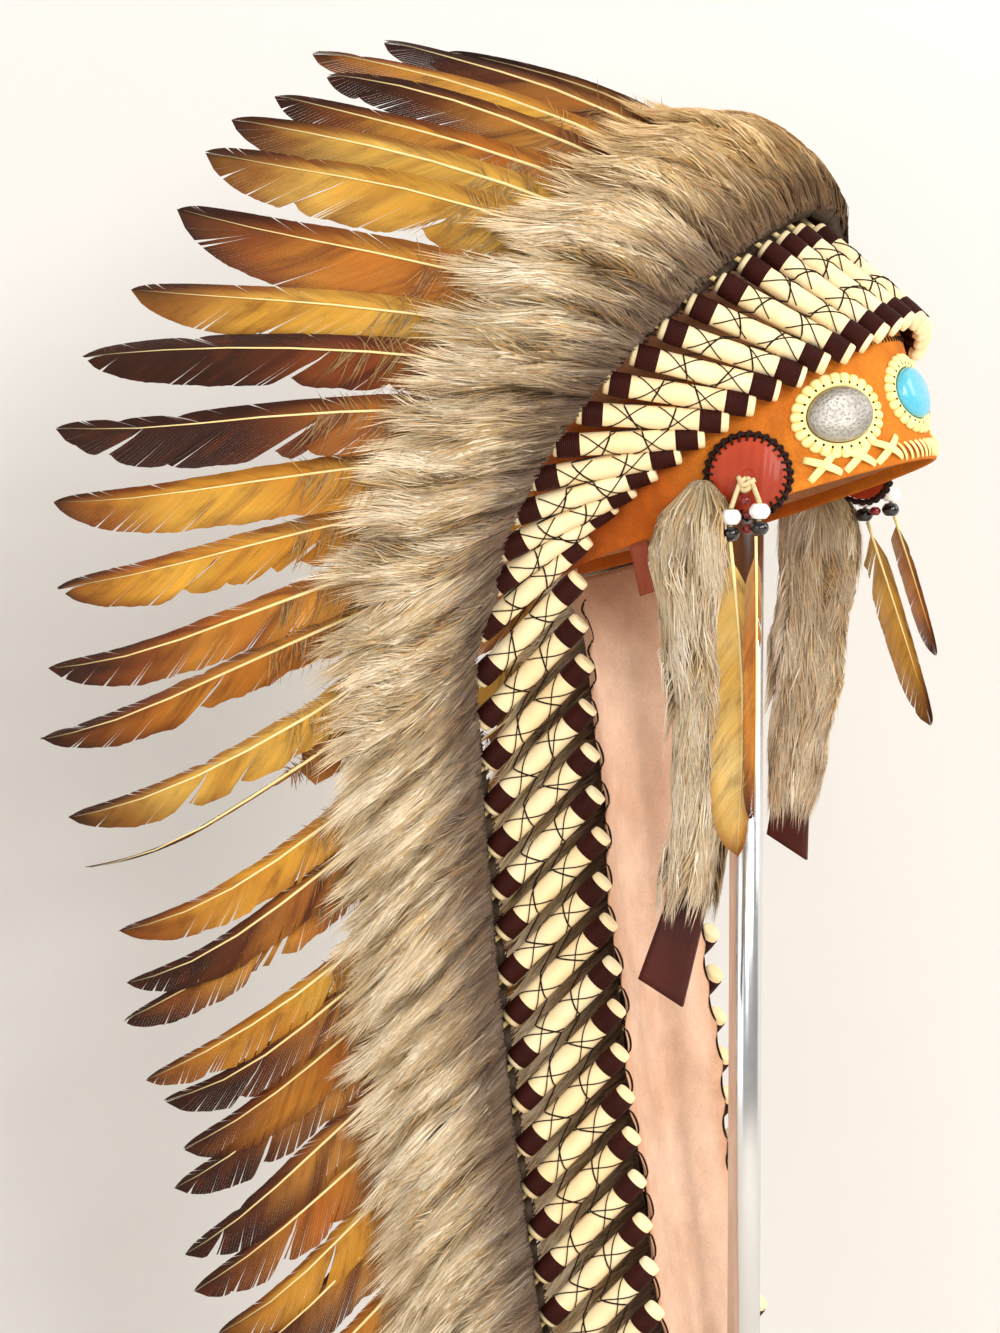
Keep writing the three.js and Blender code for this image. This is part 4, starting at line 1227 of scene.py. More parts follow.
@dataclass
class RowFur:
    """The deep fur at the feet of the feathers, on the outer or the inner face of the row."""

    face: int = 1
    hairs: int = 36000
    start: float = 64.5
    clear: float = 6.0
    high: float = 17.0
    seed: int = 21
    pelt: Pelt = Pelt()

    DEPTH = Table(
        "rod length bulk",
        ((0, 86, 1.25), (4, 84, 1.2), (9, 78, 1), (15, 84, 0.9), (22, 90, 0.95), (34, 88, 0.9)),
    )
    PROFILE = Table(
        "at height",
        ((-0.05, 0.3), (0, 0.5), (0.12, 0.74), (0.4, 1), (0.62, 0.95), (0.78, 0.78), (0.9, 0.45), (1, 0.12), (1.3, 0.0)),
    )
    BROW_END = -0.45  # the fur's first place along the row, in rods
    TAIL_END = 34.45
    PITCH = 18.0  # millimetres between two rods, about

    @staticmethod
    def lock(rod: Array, sway: float = 0.0) -> Array:
        """How near a place is to the middle of its rod's lock, from 0 to 1."""
        return 0.5 + 0.5 * np.cos(2 * np.pi * rod + sway)

    def reach(self, rod: Array) -> Array:
        """Length of the fur along the hair."""
        lock = self.lock(rod)
        ragged = 0.05 * drift(rod * 5.3, self.face * 2.0)
        return self.DEPTH.read("length", rod) * (0.86 + 0.1 * lock + 0.06 * np.sin(4.3 * rod + self.face) + ragged)

    def seam(self, rod: Array, at: Array) -> Array:
        """How near a place is to a parting between two locks, from 0 to 1."""
        wander = rod + 0.22 * drift(at * 4 + rod * 0.3, 4.0)
        cell = np.floor(wander)
        main = (0.55 + 0.45 * np.sin(cell * 2.4 + 1)) * np.exp(-((np.abs(wander - cell - 0.5) / 0.11) ** 2))
        wander = rod * 2.3 + 0.5 * drift(at * 5 + rod * 0.7, 8.0)
        cell = np.floor(wander)
        depth = 0.35 + 0.35 * np.sin(cell * 4.1 + np.floor(at * 2.3) * 1.9)
        small = depth * np.exp(-((np.abs(wander - cell - 0.5) / 0.12) ** 2))
        return np.maximum(main, small) * np.clip(1.35 - at, 0, 1)

    def surface(self, rod: Array, run: Array, height: Array) -> Array:
        """A point on the fur: run from its start along the hair, height off its skin."""
        reach = self.reach(rod)
        at = run / reach
        lock = self.lock(rod, 1.2 * drift(at * 5 + rod * 0.9, 4.0))
        bulk = self.high * self.DEPTH.read("bulk", rod)
        bulk = bulk * (0.88 + 0.12 * lock - 0.34 * self.seam(rod, at) + 0.08 * np.sin(2.9 * rod))
        rise = bulk * np.maximum(self.PROFILE.read("height", np.clip(at, -0.05, 1.3)), 0)
        return ROW.off(rod, self.start + run, 0.0, self.face * (self.clear + rise + height))

    def down(self, name: str) -> Draft:
        """The closed soft body under the hairs."""
        rods = np.arange(self.BROW_END, ROW.count - 0.5, 0.125)
        at = np.array([0, 0.03, 0.12, 0.3, 0.5, 0.7, 0.85, 0.93])
        front = self.surface(rods[:, None], at[None] * self.reach(rods)[:, None], np.full((1, 8), -2.4))
        under_at = at[::-1][None] * self.reach(rods)[:, None]
        under = ROW.off(rods[:, None], self.start + under_at, 0.0, self.face * self.clear * 0.9)
        ring = np.concatenate([front, under], axis=1)
        ring[..., 0] *= 1 - 0.8 * self.meeting(rods)[:, None]
        rows, columns = ring.shape[:2]
        shade = np.linspace(0.6, 1.0, 8)[None] * (1 - 0.5 * self.seam(rods[:, None], at[None]))
        tint = np.concatenate([shade, shade[:, ::-1]], axis=1)[..., None] * np.ones(3)
        faces = [lattice(rows, columns, ring_columns=True), *lids(rows, columns)]
        return Draft(name).add(ring, faces, tint=tint)

    def meeting(self, rod: Array) -> Array:
        """How far the fur leans in to meet the other side's, over the brow."""
        return np.clip((0.35 - rod) / 0.8, 0, 1) ** 1.5

    def coat(self, name: str, side: Side) -> Draft:
        """The hairs themselves."""
        rng = np.random.default_rng([self.seed, self.face + 1, side.value + 1])
        n = self.hairs // 1
        rod = rng.uniform(self.BROW_END, self.TAIL_END, n)
        rod[: n // 40] = rng.uniform(self.BROW_END, 0.3, n // 40)
        share = rng.uniform(-0.03, 0.9, n)
        run = share * self.reach(rod)
        lock = self.lock(rod)
        seam = self.seam(rod, share)
        tone = 0.46 + 0.14 * drift(rod * 1.3 + run * 0.02, 7.0) + 0.1 * (lock - 0.5)
        tone = tone + 0.34 * np.clip(share * 2 - 0.2, 0, 1)
        tone = tone + 0.16 * drift(rod * 7.3 + run * 0.012, 3.0) + 0.12 * drift(rod * 17 + run * 0.02, 9.0)
        # painted shade in the partings between locks
        tone = tone - 0.95 * seam
        edge = np.clip((share - 0.6) * 3, 0, 1)
        tall = np.where(share < 0.06, 0.75, 1.0) * (1 - 0.25 * seam)
        tall = tall * (1 + 0.45 * edge * drift(rod * 5.1, 2.0 + self.face))
        points, tris, uv, color = hairs(self.surface, rod, run, tall, self.pelt, rng, tone, 1 / self.PITCH)
        lean = self.meeting(rod)[:, None] * np.array([0.8, 0.8, 0.9, 0.9, 1.0])
        points.reshape(n, 5, 3)[..., 0] *= 1 - lean
        near = 0.6 * np.clip((0.3 - share) / 0.3, 0, 1)
        # painted shade: the hair roots right by the rods go near black
        deep = 0.75 * np.clip((0.07 - share) / 0.1, 0, 1)
        gold = np.clip((6 - rod) / 5, 0, 1) * 0.75 + 0.3 * np.clip((share - 0.75) * 5, 0, 1)
        color = blend(color, linear("8A766A"), np.repeat(near, 5))
        color = blend(color, linear("40302A"), np.repeat(deep, 5))
        color = blend(color, color * np.array([1.06, 0.88, 0.6]), np.repeat(gold, 5))
        return Draft(name).add(points, [tris], uv, color)

    def build(self, word: str) -> None:
        """Makes the fur on both sides."""
        for side in Side:
            node = f"fur_{word}_{side.word}"
            down = self.down(f"fur_down_{word}_{side.word}")
            coat = self.coat(f"fur_hairs_{word}_{side.word}", side)
            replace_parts(down.piece(Finishes.UNDERFUR, side, solid=True), node)
            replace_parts(coat.piece(Finishes.FUR, side), node)
            LOG.info("fur, %s face, %s side", word, side.word)


# ----------------------------------------------------------- band, cap, tail


@dataclass
class BrowBand:
    """The suede band round the brow, with its stitches."""

    height: float = 66
    wall: float = 2.5
    crosses: tuple[float, ...] = (47, 35, 23)

    def band(self) -> Draft:
        """The band itself: outer face, inner face and rounded edges."""
        steps = 220
        turn = circle(steps)
        levels = np.array([0, 0.25, 1.2, 4, 9, 16, 24, 32, 40, 48, 56, 62, 64.8, 65.75, 66])
        soft = np.array([-1.25, -0.5, 0, 0.25, 0.1, 0, 0.15, 0.2, 0.15, 0, 0.1, 0.2, 0, -0.5, -1.25])
        back = np.clip((np.degrees(np.abs((turn + np.pi) % (2 * np.pi) - np.pi)) - 78) / 14, 0, 1)
        crease = back[:, None] * 1.5 * drift(turn[:, None] * 26 + levels[None] * 0.04, 3.0)
        crease = crease * np.sin(np.pi * np.clip(levels / self.height, 0, 1))[None]
        outer = HEAD.at(turn[:, None], levels[None], soft[None] + crease)
        inner = HEAD.at(turn[:, None], levels[None, ::-1], -self.wall - soft[None, ::-1] * 0.5 + crease[:, ::-1])
        ring = np.concatenate([outer, inner], axis=1)
        shade = blend(WHITE, np.array([0.70, 0.42, 0.30]), back * 0.75)
        tint = np.repeat(shade[:, None], ring.shape[1], axis=1)
        quads = lattice(steps, ring.shape[1], ring_rows=True, ring_columns=True)
        return Draft("suede_band").add(ring, [quads], tint=tint)

    def cross_stitches(self) -> Draft:
        """Pale lace crosses along the lower edge, and short upright ones at the brow."""
        draft = Draft("band_cross_stitches")
        for sign in (1, -1):
            for middle in self.crosses:
                for lean in (1, -1):
                    x = np.linspace(-8, 8, 9)
                    bow = 1.9 * (1 - (x / 8) ** 2) + 0.1 + 0.7 * (lean > 0) * (1 - (x / 8) ** 2)
                    flat = np.stack([sign * x, lean * x * 0.66, bow], -1)
                    path = HEAD.wrap(flat, sign * math.radians(middle), 8.0, 0.0)
                    near, far = HEAD.wrap(np.array([[0, 0, 0.0], [0, 0, 5.0]]), sign * math.radians(middle), 8, 0)
                    draft.add(*sweep(path, 1.75 + 0.25 * np.cos(np.linspace(-1.5, 1.5, 9)), 8, 0.38, far - near))
        for i in range(-5, 6):
            y = np.linspace(-4.2, 4.2, 6)
            flat = np.stack([0.35 * y, y, 1.3 * (1 - (y / 4.2) ** 2) + 0.1], -1)
            turn = math.radians(i * 3.3)
            draft.add(*sweep(HEAD.wrap(flat, turn, 5.5, 0.0), 1.15, 7, 0.5, HEAD.axes[0]))
        return draft

    def ticks(self) -> Draft:
        """Small dark stitches just under the band's top edge."""
        paths = []
        for degrees in np.arange(-64, 64.1, 2.3):
            y = np.linspace(-1.4, 1.4, 5)
            flat = np.stack([0.5 * y, y, 0.55 * (1 - (y / 1.4) ** 2)], -1)
            paths.append(HEAD.wrap(flat, math.radians(degrees), self.height - 6.5, 0.0))
        return Draft("band_edge_stitches").add(*sweep(np.array(paths), 0.42, 5))

    def build(self) -> None:
        """Makes the band and its stitches."""
        band = self.band().piece(Finishes.SUEDE_BAND, solid=True)
        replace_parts(band, "brow_band")
        crosses = self.cross_stitches().piece(Finishes.WHIP, solid=True)
        ticks = self.ticks().piece(Finishes.THREAD)
        LOG.info("brow band")


@dataclass
class CrownCap:
    """The suede skull cap inside the band, made of gores."""

    inset: float = 2.85
    wall: float = 2.0
    rim: float = 6
    shoulder: float = 42
    crown: float = 112
    power: float = 2.3
    gores: int = 6

    def dome(self, share: Array, inset: float) -> Array:
        """Height of the dome at a share of its radius."""
        rise = self.crown - self.shoulder - inset
        return self.shoulder + rise * np.maximum(1 - share**self.power, 0) ** (1 / self.power)

    def build(self) -> None:
        """Makes the cap, with seams between its gores."""
        steps, rings = 96, 26
        angle = circle(steps)
        share = np.concatenate([np.sin(np.linspace(0, np.pi / 2, rings)), [1, 1, 1]])
        outer = np.concatenate([self.dome(share[:rings], 0), [34, 22, self.rim]])
        inner = np.concatenate([self.dome(share[:rings], self.wall), [34, 22, self.rim]])
        share_all = np.concatenate([share, share[::-1] * (1 - self.wall / HEAD.half_width)])
        height = np.concatenate([outer, inner[::-1]])
        seam = 0.9 * np.exp(-((np.abs((angle * self.gores / (2 * np.pi)) % 1 - 0.5) - 0.5) ** 2) / 0.0016)
        outside = np.arange(len(share_all)) < len(share)
        pull = seam[None] * (share_all > 0.15)[:, None] * outside[:, None]
        ahead = (HEAD.half_length - self.inset - pull) * share_all[:, None] * np.cos(angle)[None]
        aside = (HEAD.half_width - self.inset - pull) * share_all[:, None] * np.sin(angle)[None]
        local = np.stack([ahead, aside, np.broadcast_to(height[:, None], ahead.shape)], -1)
        quads = lattice(len(share_all), steps, ring_columns=True)
        draft = Draft("suede_cap").add(np.array([0, 0, HEAD.z]) + local @ HEAD.axes, [quads])
        cap = draft.piece(Finishes.SUEDE_CAP, solid=True)
        mend(cap.data, weld=0.02 * MM)
        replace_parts(cap, "crown_cap")
        LOG.info("crown cap")


@dataclass
class Trailer:
    """The long suede panel behind, with its edges whipped."""

    wall: float = 1.7
    shape: Table = Table(
        "z edge cup half",
        (
            (672, 64, 29, 57), (640, 59, 19, 55.5), (570, 53, 13, 55), (500, 46, 10, 55), (430, 38, 8, 55),
            (360, 28, 8, 55), (290, 17, 7, 55), (256, 12, 6, 54),
        ),
    )
    top: float = 672
    tail: float = 256
    stitches: int = 21

    def at(self, x: Array, share: Array, out: Array) -> Array:
        """A point of the panel: x from -1 to 1 across, share down it, out from its middle."""
        x, share, out = aligned(x, share, out)
        z = self.top + (self.tail - self.top) * share
        edge, cup, half = (self.shape.read(name, z) for name in ("edge", "cup", "half"))
        dip = 10.2 * np.maximum(0, 1 - 5 * share)
        ripple = 1.6 * np.sin(9 * np.pi * share) * np.minimum(1, 6 * share)
        calm = np.minimum(1, 5 * share)
        folds = calm * (1.1 * drift(x * 3.1 + share * 2.2, 1.0) + 0.7 * drift(x * 6 - share * 7, 5.0))
        pucker = 0.7 * np.sin(2 * np.pi * share * self.stitches)
        pucker = pucker * np.clip((np.abs(x) - 0.86) / 0.14, 0, 1)
        y = edge + cup * (1 - x * x) + ripple * x * np.abs(x) + folds + pucker + out
        wave = 0.9 * np.sin(2 * np.pi * share * self.stitches + 1.3) * np.sign(x)
        wave = wave * np.clip((np.abs(x) - 0.8) / 0.2, 0, 1)
        height = z - 0.35 - dip * (1 - x * x)
        return np.stack([x * half + wave, y, height], -1)

    def panel(self) -> Draft:
        """The panel itself, with shade painted along its side edges and its top."""
        rows, columns = 190, 45
        share = np.linspace(0, 1, rows)[:, None]
        x = np.linspace(-1, 1, columns)[None]
        edge = np.clip((1 - np.abs(x)) * 12, 0, 1)
        front = self.at(x, share, -self.wall / 2 * edge)
        back = self.at(x[:, ::-1], share, self.wall / 2 * edge[:, ::-1])
        ring = np.concatenate([front, back[:, 1:-1]], axis=1)
        # painted shade: darker towards the side edges, more so lower down, and along the top
        warm_tone_and_shade = np.clip((np.abs(x) - 0.7) / 0.3, 0, 1) * (0.35 + 0.5 * share) + 0.55 * np.clip(1 - share * 9, 0, 1)
        tint = blend(WHITE, np.array([0.84, 0.62, 0.44]), warm_tone_and_shade)
        tint = np.concatenate([tint, tint[:, 1:-1][:, ::-1]], axis=1)
        n = ring.shape[1]
        faces = [lattice(rows, n, ring_columns=True)]
        for row in (0, rows - 1):
            low = row * n + np.arange(columns)
            high = row * n + (-np.arange(columns)) % n
            faces.append(np.stack([low[:-1], low[1:], high[1:], high[:-1]], -1)[1:-1])
            faces.append(np.array([[low[0], low[1], high[1]], [low[-1], low[-2], high[-2]]]))
        return Draft("suede_trailer").add(ring, faces, tint=tint)

    def whipping(self) -> Draft:
        """Long stitches down both edges, each one tucked round the edge at its ends."""
        draft = Draft("trailer_edge_stitches")
        paths = []
        for x in (-1, 1):
            for i in range(self.stitches):
                t = np.linspace(0, 1, 9)
                share = (i + 0.18 + 0.62 * t) / self.stitches
                inset = x * (1.0 - 0.052 * np.sin(np.pi * t) ** 0.5)
                out = -1.5 * np.sin(np.pi * t) ** 0.35 + 0.4
                paths.append(self.at(inset, share, out))
                t = np.linspace(0, 1, 6)
                share = (i + 0.8 + 0.36 * t) / self.stitches
                paths.append(self.at(x * (1.0 - 0.03), share, 1.6 * np.sin(np.pi * t)))
        for path in paths:
            draft.add(*sweep(path, 0.55, 5))
        return draft

    def build(self) -> None:
        """Makes the panel and its stitches."""
        panel = self.panel().piece(Finishes.SUEDE_TRAILER, solid=True)
        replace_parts(panel, "trailer_panel")
        whipping = self.whipping().piece(Finishes.THREAD)
        LOG.info("suede trailer")


# -------------------------------------------------------- stones and rosettes


@dataclass
class OvalStone:
    """A domed oval stone in a whip-stitched surround."""

    turn: float
    height: float
    half_wide: float
    half_high: float
    finish: Finish
    petals: int = 26
    margin: float = 7.0
    gap: float = 0.35

    def on_band(self, points: Array, out: float) -> Array:
        """Bends flat points round the band at the stone."""
        return HEAD.wrap(points.reshape(-1, 3), math.radians(self.turn), self.height, out)

    def stone(self, name: str) -> Draft:
        """The dome."""
        profile = rounded([(0, 0), (1, 0), (1, 2.6), (0.9, 4.6), (0.6, 6.2), (0.0, 6.8)], 0.9, 3)
        points, faces, uv = lathe(profile, 72)
        points = points * np.array([self.half_wide, self.half_high, 1])
        return Draft(name).add(self.on_band(points, 0.6), faces, uv)

    def surround(self, name: str) -> tuple[Draft, Draft]:
        """The ring of stitched petals with shade painted in the grooves between them, and dark dots between them that
        stand for the shade in the needle holes.
        """
        steps = self.petals * 10
        angle = circle(steps)
        wave = np.abs(np.cos(angle * self.petals / 2)) ** 0.7
        u = np.array([0.0, 0.0, 0.12, 0.3, 0.5, 0.7, 0.86, 0.96, 1.0, 1.0])
        z = np.array([0.0, 1.3, 1.9, 2.3, 2.5, 2.45, 2.1, 1.5, 0.8, 0.0])
        reach = (self.margin - 0.9 * (1 - wave))[:, None]
        lift = z[None] * (1 - 0.42 * (1 - wave)[:, None] * np.clip((u[None] - 0.12) * 3, 0, 1))
        aside = (self.half_wide + self.gap + reach * u[None]) * np.cos(angle)[:, None]
        up = (self.half_high + self.gap + reach * u[None]) * np.sin(angle)[:, None]
        ring = np.stack([aside, up, lift], -1)
        # painted shade: the grooves between petals darken towards brown
        groove = (1 - wave)[:, None] * np.clip((u - 0.1) * 3, 0, 1)[None]
        tint = blend(WHITE, np.array([0.62, 0.36, 0.12]), 0.85 * groove**1.6)
        petals = Draft(name).add(self.on_band(ring, 0.3), [lattice(steps, len(u), ring_rows=True)], tint=tint)
        # dark domes that stand for the shade inside the needle holes
        hole_shades = Draft(f"{name}_holes")
        for i in range(self.petals):
            a = (i + 0.5) / self.petals * 2 * math.pi
            base, faces, uv = lathe([(0, 0), (0.75, 0.0), (0.62, 0.3), (0, 0.4)], 8)
            r = self.gap + self.margin * 0.3
            base = base + np.array([(self.half_wide + r) * math.cos(a), (self.half_high + r) * math.sin(a), 1.75])
            hole_shades.add(self.on_band(base, 0.3), faces, uv)
        return petals, hole_shades

    def build(self, stone_node: str, surround_node: str, side: Side = Side.RIGHT) -> None:
        """Makes the stone and its surround in place of their nodes."""
        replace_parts(self.stone(f"{stone_node}_dome").piece(self.finish, side, solid=True), stone_node)
        petals, hole_shades = self.surround(f"{surround_node}_petals")
        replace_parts(petals.piece(Finishes.WHIP, side, solid=True), surround_node)
        hole_shades.piece(Finishes.BINDING, side, solid=True)
        LOG.info("%s in its surround", stone_node)


@dataclass
class Rosette:
    """The glossy leather disc over each ear, its whipped rim, its laces and its beads."""

    turn: float = 68.5
    height: float = 13.5
    radius: float = 18
    stitches: int = 30

    BEAD_HALF = 0.72  # half a bead's height over its radius
    BEAD_BORE = 1.3
    # name, place along the band, drop, radius, distance out
    BEADS = (
        ("white_rear", 2.5, 18.5, 5, 15.5), ("white_front", -11.5, 15.5, 5, 14.5),
        ("black_rear", 2.7, 26.2, 4.4, 15.5), ("black_front", -11.5, 23.2, 4.4, 14.5),
        ("red_rear", -3.2, 10.5, 2.8, 12), ("red_middle", -4.4, 17.5, 2.4, 10.8), ("red_front", -4.5, 24, 2.8, 11.5),
    )

    @property
    def middle(self) -> Array:
        """The disc's middle on the band's face."""
        return HEAD.at(math.radians(self.turn), self.height, 0.0)

    def by(self, along: float, drop: float, out: float) -> Array:
        """A place near the right-hand disc."""
        return self.middle + np.array([-out, along, -drop])

    def on_band(self, points: Array, out: float) -> Array:
        """Bends flat points round the band at the disc."""
        return HEAD.wrap(points, math.radians(self.turn), self.height, out)

    def above(self, bead: tuple[str, float, float, float, float]) -> Array:
        """The place just above a bead, where its string comes in."""
        _, along, drop, size, out = bead
        return self.by(along, drop - size * self.BEAD_HALF - 0.2, out)

    def disc(self, name: str) -> Draft:
        """The disc, slightly domed and dished inside its edge."""
        inner = self.radius - 2
        arc = [(inner - i * (inner - 0.01) / 9, 3.3 + 0.9 * math.sin(i / 9 * math.pi / 2)) for i in range(9)]
        profile = rounded([(0, 0), (self.radius, 0), (self.radius, 2.8), *arc, (0, 4.2)], 1.0, 3)
        points, faces, uv = lathe(profile, 72)
        points[:, 2] += 0.35 * drift(points[:, 0] * 0.25 + points[:, 1] * 0.1, 2.0) * (points[:, 2] > 2)
        return Draft(name).add(self.on_band(points, 0.6), faces, uv)

    def binding(self, name: str) -> Draft:
        """The dark cord that whips round the disc's edge."""
        draft = Draft(name)
        for i in range(self.stitches):
            a = i / self.stitches * 2 * math.pi
            t = np.linspace(0, 1, 8)
            r = self.radius + 0.2 + 2.4 * np.sin(np.pi * t) ** 0.6
            turn = a + (t - 0.5) * 0.16
            z = 4.1 * (1 - t) ** 1.2 + 0.35
            r = np.where(t < 0.25, self.radius - 1.9 + (t / 0.25) * 2.6, r)
            path = np.stack([r * np.cos(turn), r * np.sin(turn), z], -1)
            draft.add(*sweep(self.on_band(path, 0.0), 0.85 * (0.7 + 0.3 * np.sin(np.pi * t)), 7))
        ring = np.linspace(0, 2 * np.pi, 61)
        around = self.radius + 1.4
        path = np.stack([around * np.cos(ring), around * np.sin(ring), np.full(61, 1.4)], -1)
        return draft.add(*sweep(self.on_band(path, 0.0), 1.15, 8))

    def laces(self, name: str) -> Draft:
        """The knot in the middle, and a string through the beads to each drop feather."""
        draft = Draft(name)
        rear, front = self.BEADS[:2]
        ties = [
            [self.above(rear), self.by(1.6, 9, 12.5), self.by(0.5, 3, 9), self.by(-2, 0.5, 7.4)],
            [self.above(front), self.by(-8.6, 7.5, 11.6), self.by(-5.5, 3.0, 9), self.by(-2.4, 0.6, 7.4)],
            [self.by(0.6, 4.4, 9.2), self.by(-2.2, 6.4, 10.5), self.by(-5.2, 4.6, 9.8)],
            [self.by(2.2, 0.5, 7), self.by(-1.6, 3.8, 10.6), self.by(-6.5, 1.2, 8)],
        ]
        for knots in ties:
            draft.add(*sweep(curve(knots, 16), 1.25, 8))
        for _, along, drop, _, out in (rear, front):
            for shift in (-0.9, 0.9):
                high, middle = self.by(along, drop - 4, out), self.by(along + shift * 0.4, drop + 4, out + 0.3)
                low = self.by(along + shift * 2, drop + 9.0, out + 2.4)
                draft.add(*sweep(curve([high, middle, low], 12), 0.62, 6))
        return draft

    def build(self, side: Side) -> None:
        """Makes the disc, rim, laces and beads of one side."""
        word = side.word
        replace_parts(self.disc(f"rosette_disc_{word}").piece(Finishes.ROSETTE, side, solid=True), f"rosette_{word}")
        rim = self.binding(f"rosette_binding_{word}").piece(Finishes.BINDING, side, solid=True)
        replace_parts(rim, f"rosette_rim_{word}")
        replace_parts(self.laces(f"rosette_laces_{word}").piece(Finishes.LACE, side, solid=True), f"lace_{word}")
        glaze = {"white": Finishes.WHITE_BEAD, "black": Finishes.BLACK_BEAD, "red": Finishes.RED_BEAD}
        for name, along, drop, size, out in self.BEADS:
            half, hole = size * self.BEAD_HALF, self.BEAD_BORE
            corners = [(hole, 0), (hole, -half), (size * 0.62, -half), (size, -half * 0.3), (size, half * 0.3),
                       (size * 0.62, half), (hole, half), (hole, 0)]
            points, faces, uv = lathe(rounded(corners, size * 0.4, 3), 28)
            draft = Draft(f"{name}_bead_{word}").add(points + self.by(along, drop, out), faces, uv)
            piece = draft.piece(glaze[name.split("_")[0]], side)
            mend(piece.data, weld=0.01 * MM)
            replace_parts(piece, f"bead_{name}_{word}")
        LOG.info("rosette, laces and beads, %s side", word)


ROSETTE = Rosette()


# -------------------------------------------------------------------- drops


@dataclass
class DropFeather:
    """A short feather that hangs from a bead string."""

    name: str
    side: Side
    along: float
    drop: float
    length: float
    width: float
    swing: float
    edge_on: float
    plumage: Plumage
    splits: float = 0.06
    bow: float = 0.0

    def build(self) -> None:
        """Makes the feather in place of its node."""
        top = ROSETTE.by(self.along, self.drop, 19.5)
        tip = top + np.array([-3, self.swing, -self.length])
        c, s = math.cos(self.edge_on), math.sin(self.edge_on)
        across, outward = np.array([-s, c, 0]), np.array([-c, -s, 0])

        def place(at: Array, u: Array, v: Array) -> Array:
            """Puts the feather's points on its line."""
            at, u, v = (x[:, None] for x in aligned(at, u, v))
            bent = across * (u + self.bow * np.sin(np.pi * at))
            return top + (tip - top) * at + bent + outward * (v + 3 * at * (1 - at))

        word = self.side.word
        webs, shafts = Draft(f"drop_{self.name}_web_{word}"), Draft(f"drop_{self.name}_shaft_{word}")
        rng = np.random.default_rng([77, int(self.length), self.side.value + 1])
        feather = Feather(
            self.length, self.width, narrow=0.3, barbs=64, start=0.06, splits=self.splits, curl=0.7, cup=1.2, shaft=1.0,
            plumage=self.plumage,
        )
        feather.add_to(webs, shafts, place, rng, down=0)
        node = f"drop_feather_{self.name}_{word}"
        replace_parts(webs.piece(Finishes.FEATHER, self.side), node)
        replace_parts(shafts.piece(Finishes.SHAFT, self.side, solid=True), node)
        LOG.info("drop feather, %s, %s side", self.name, word)


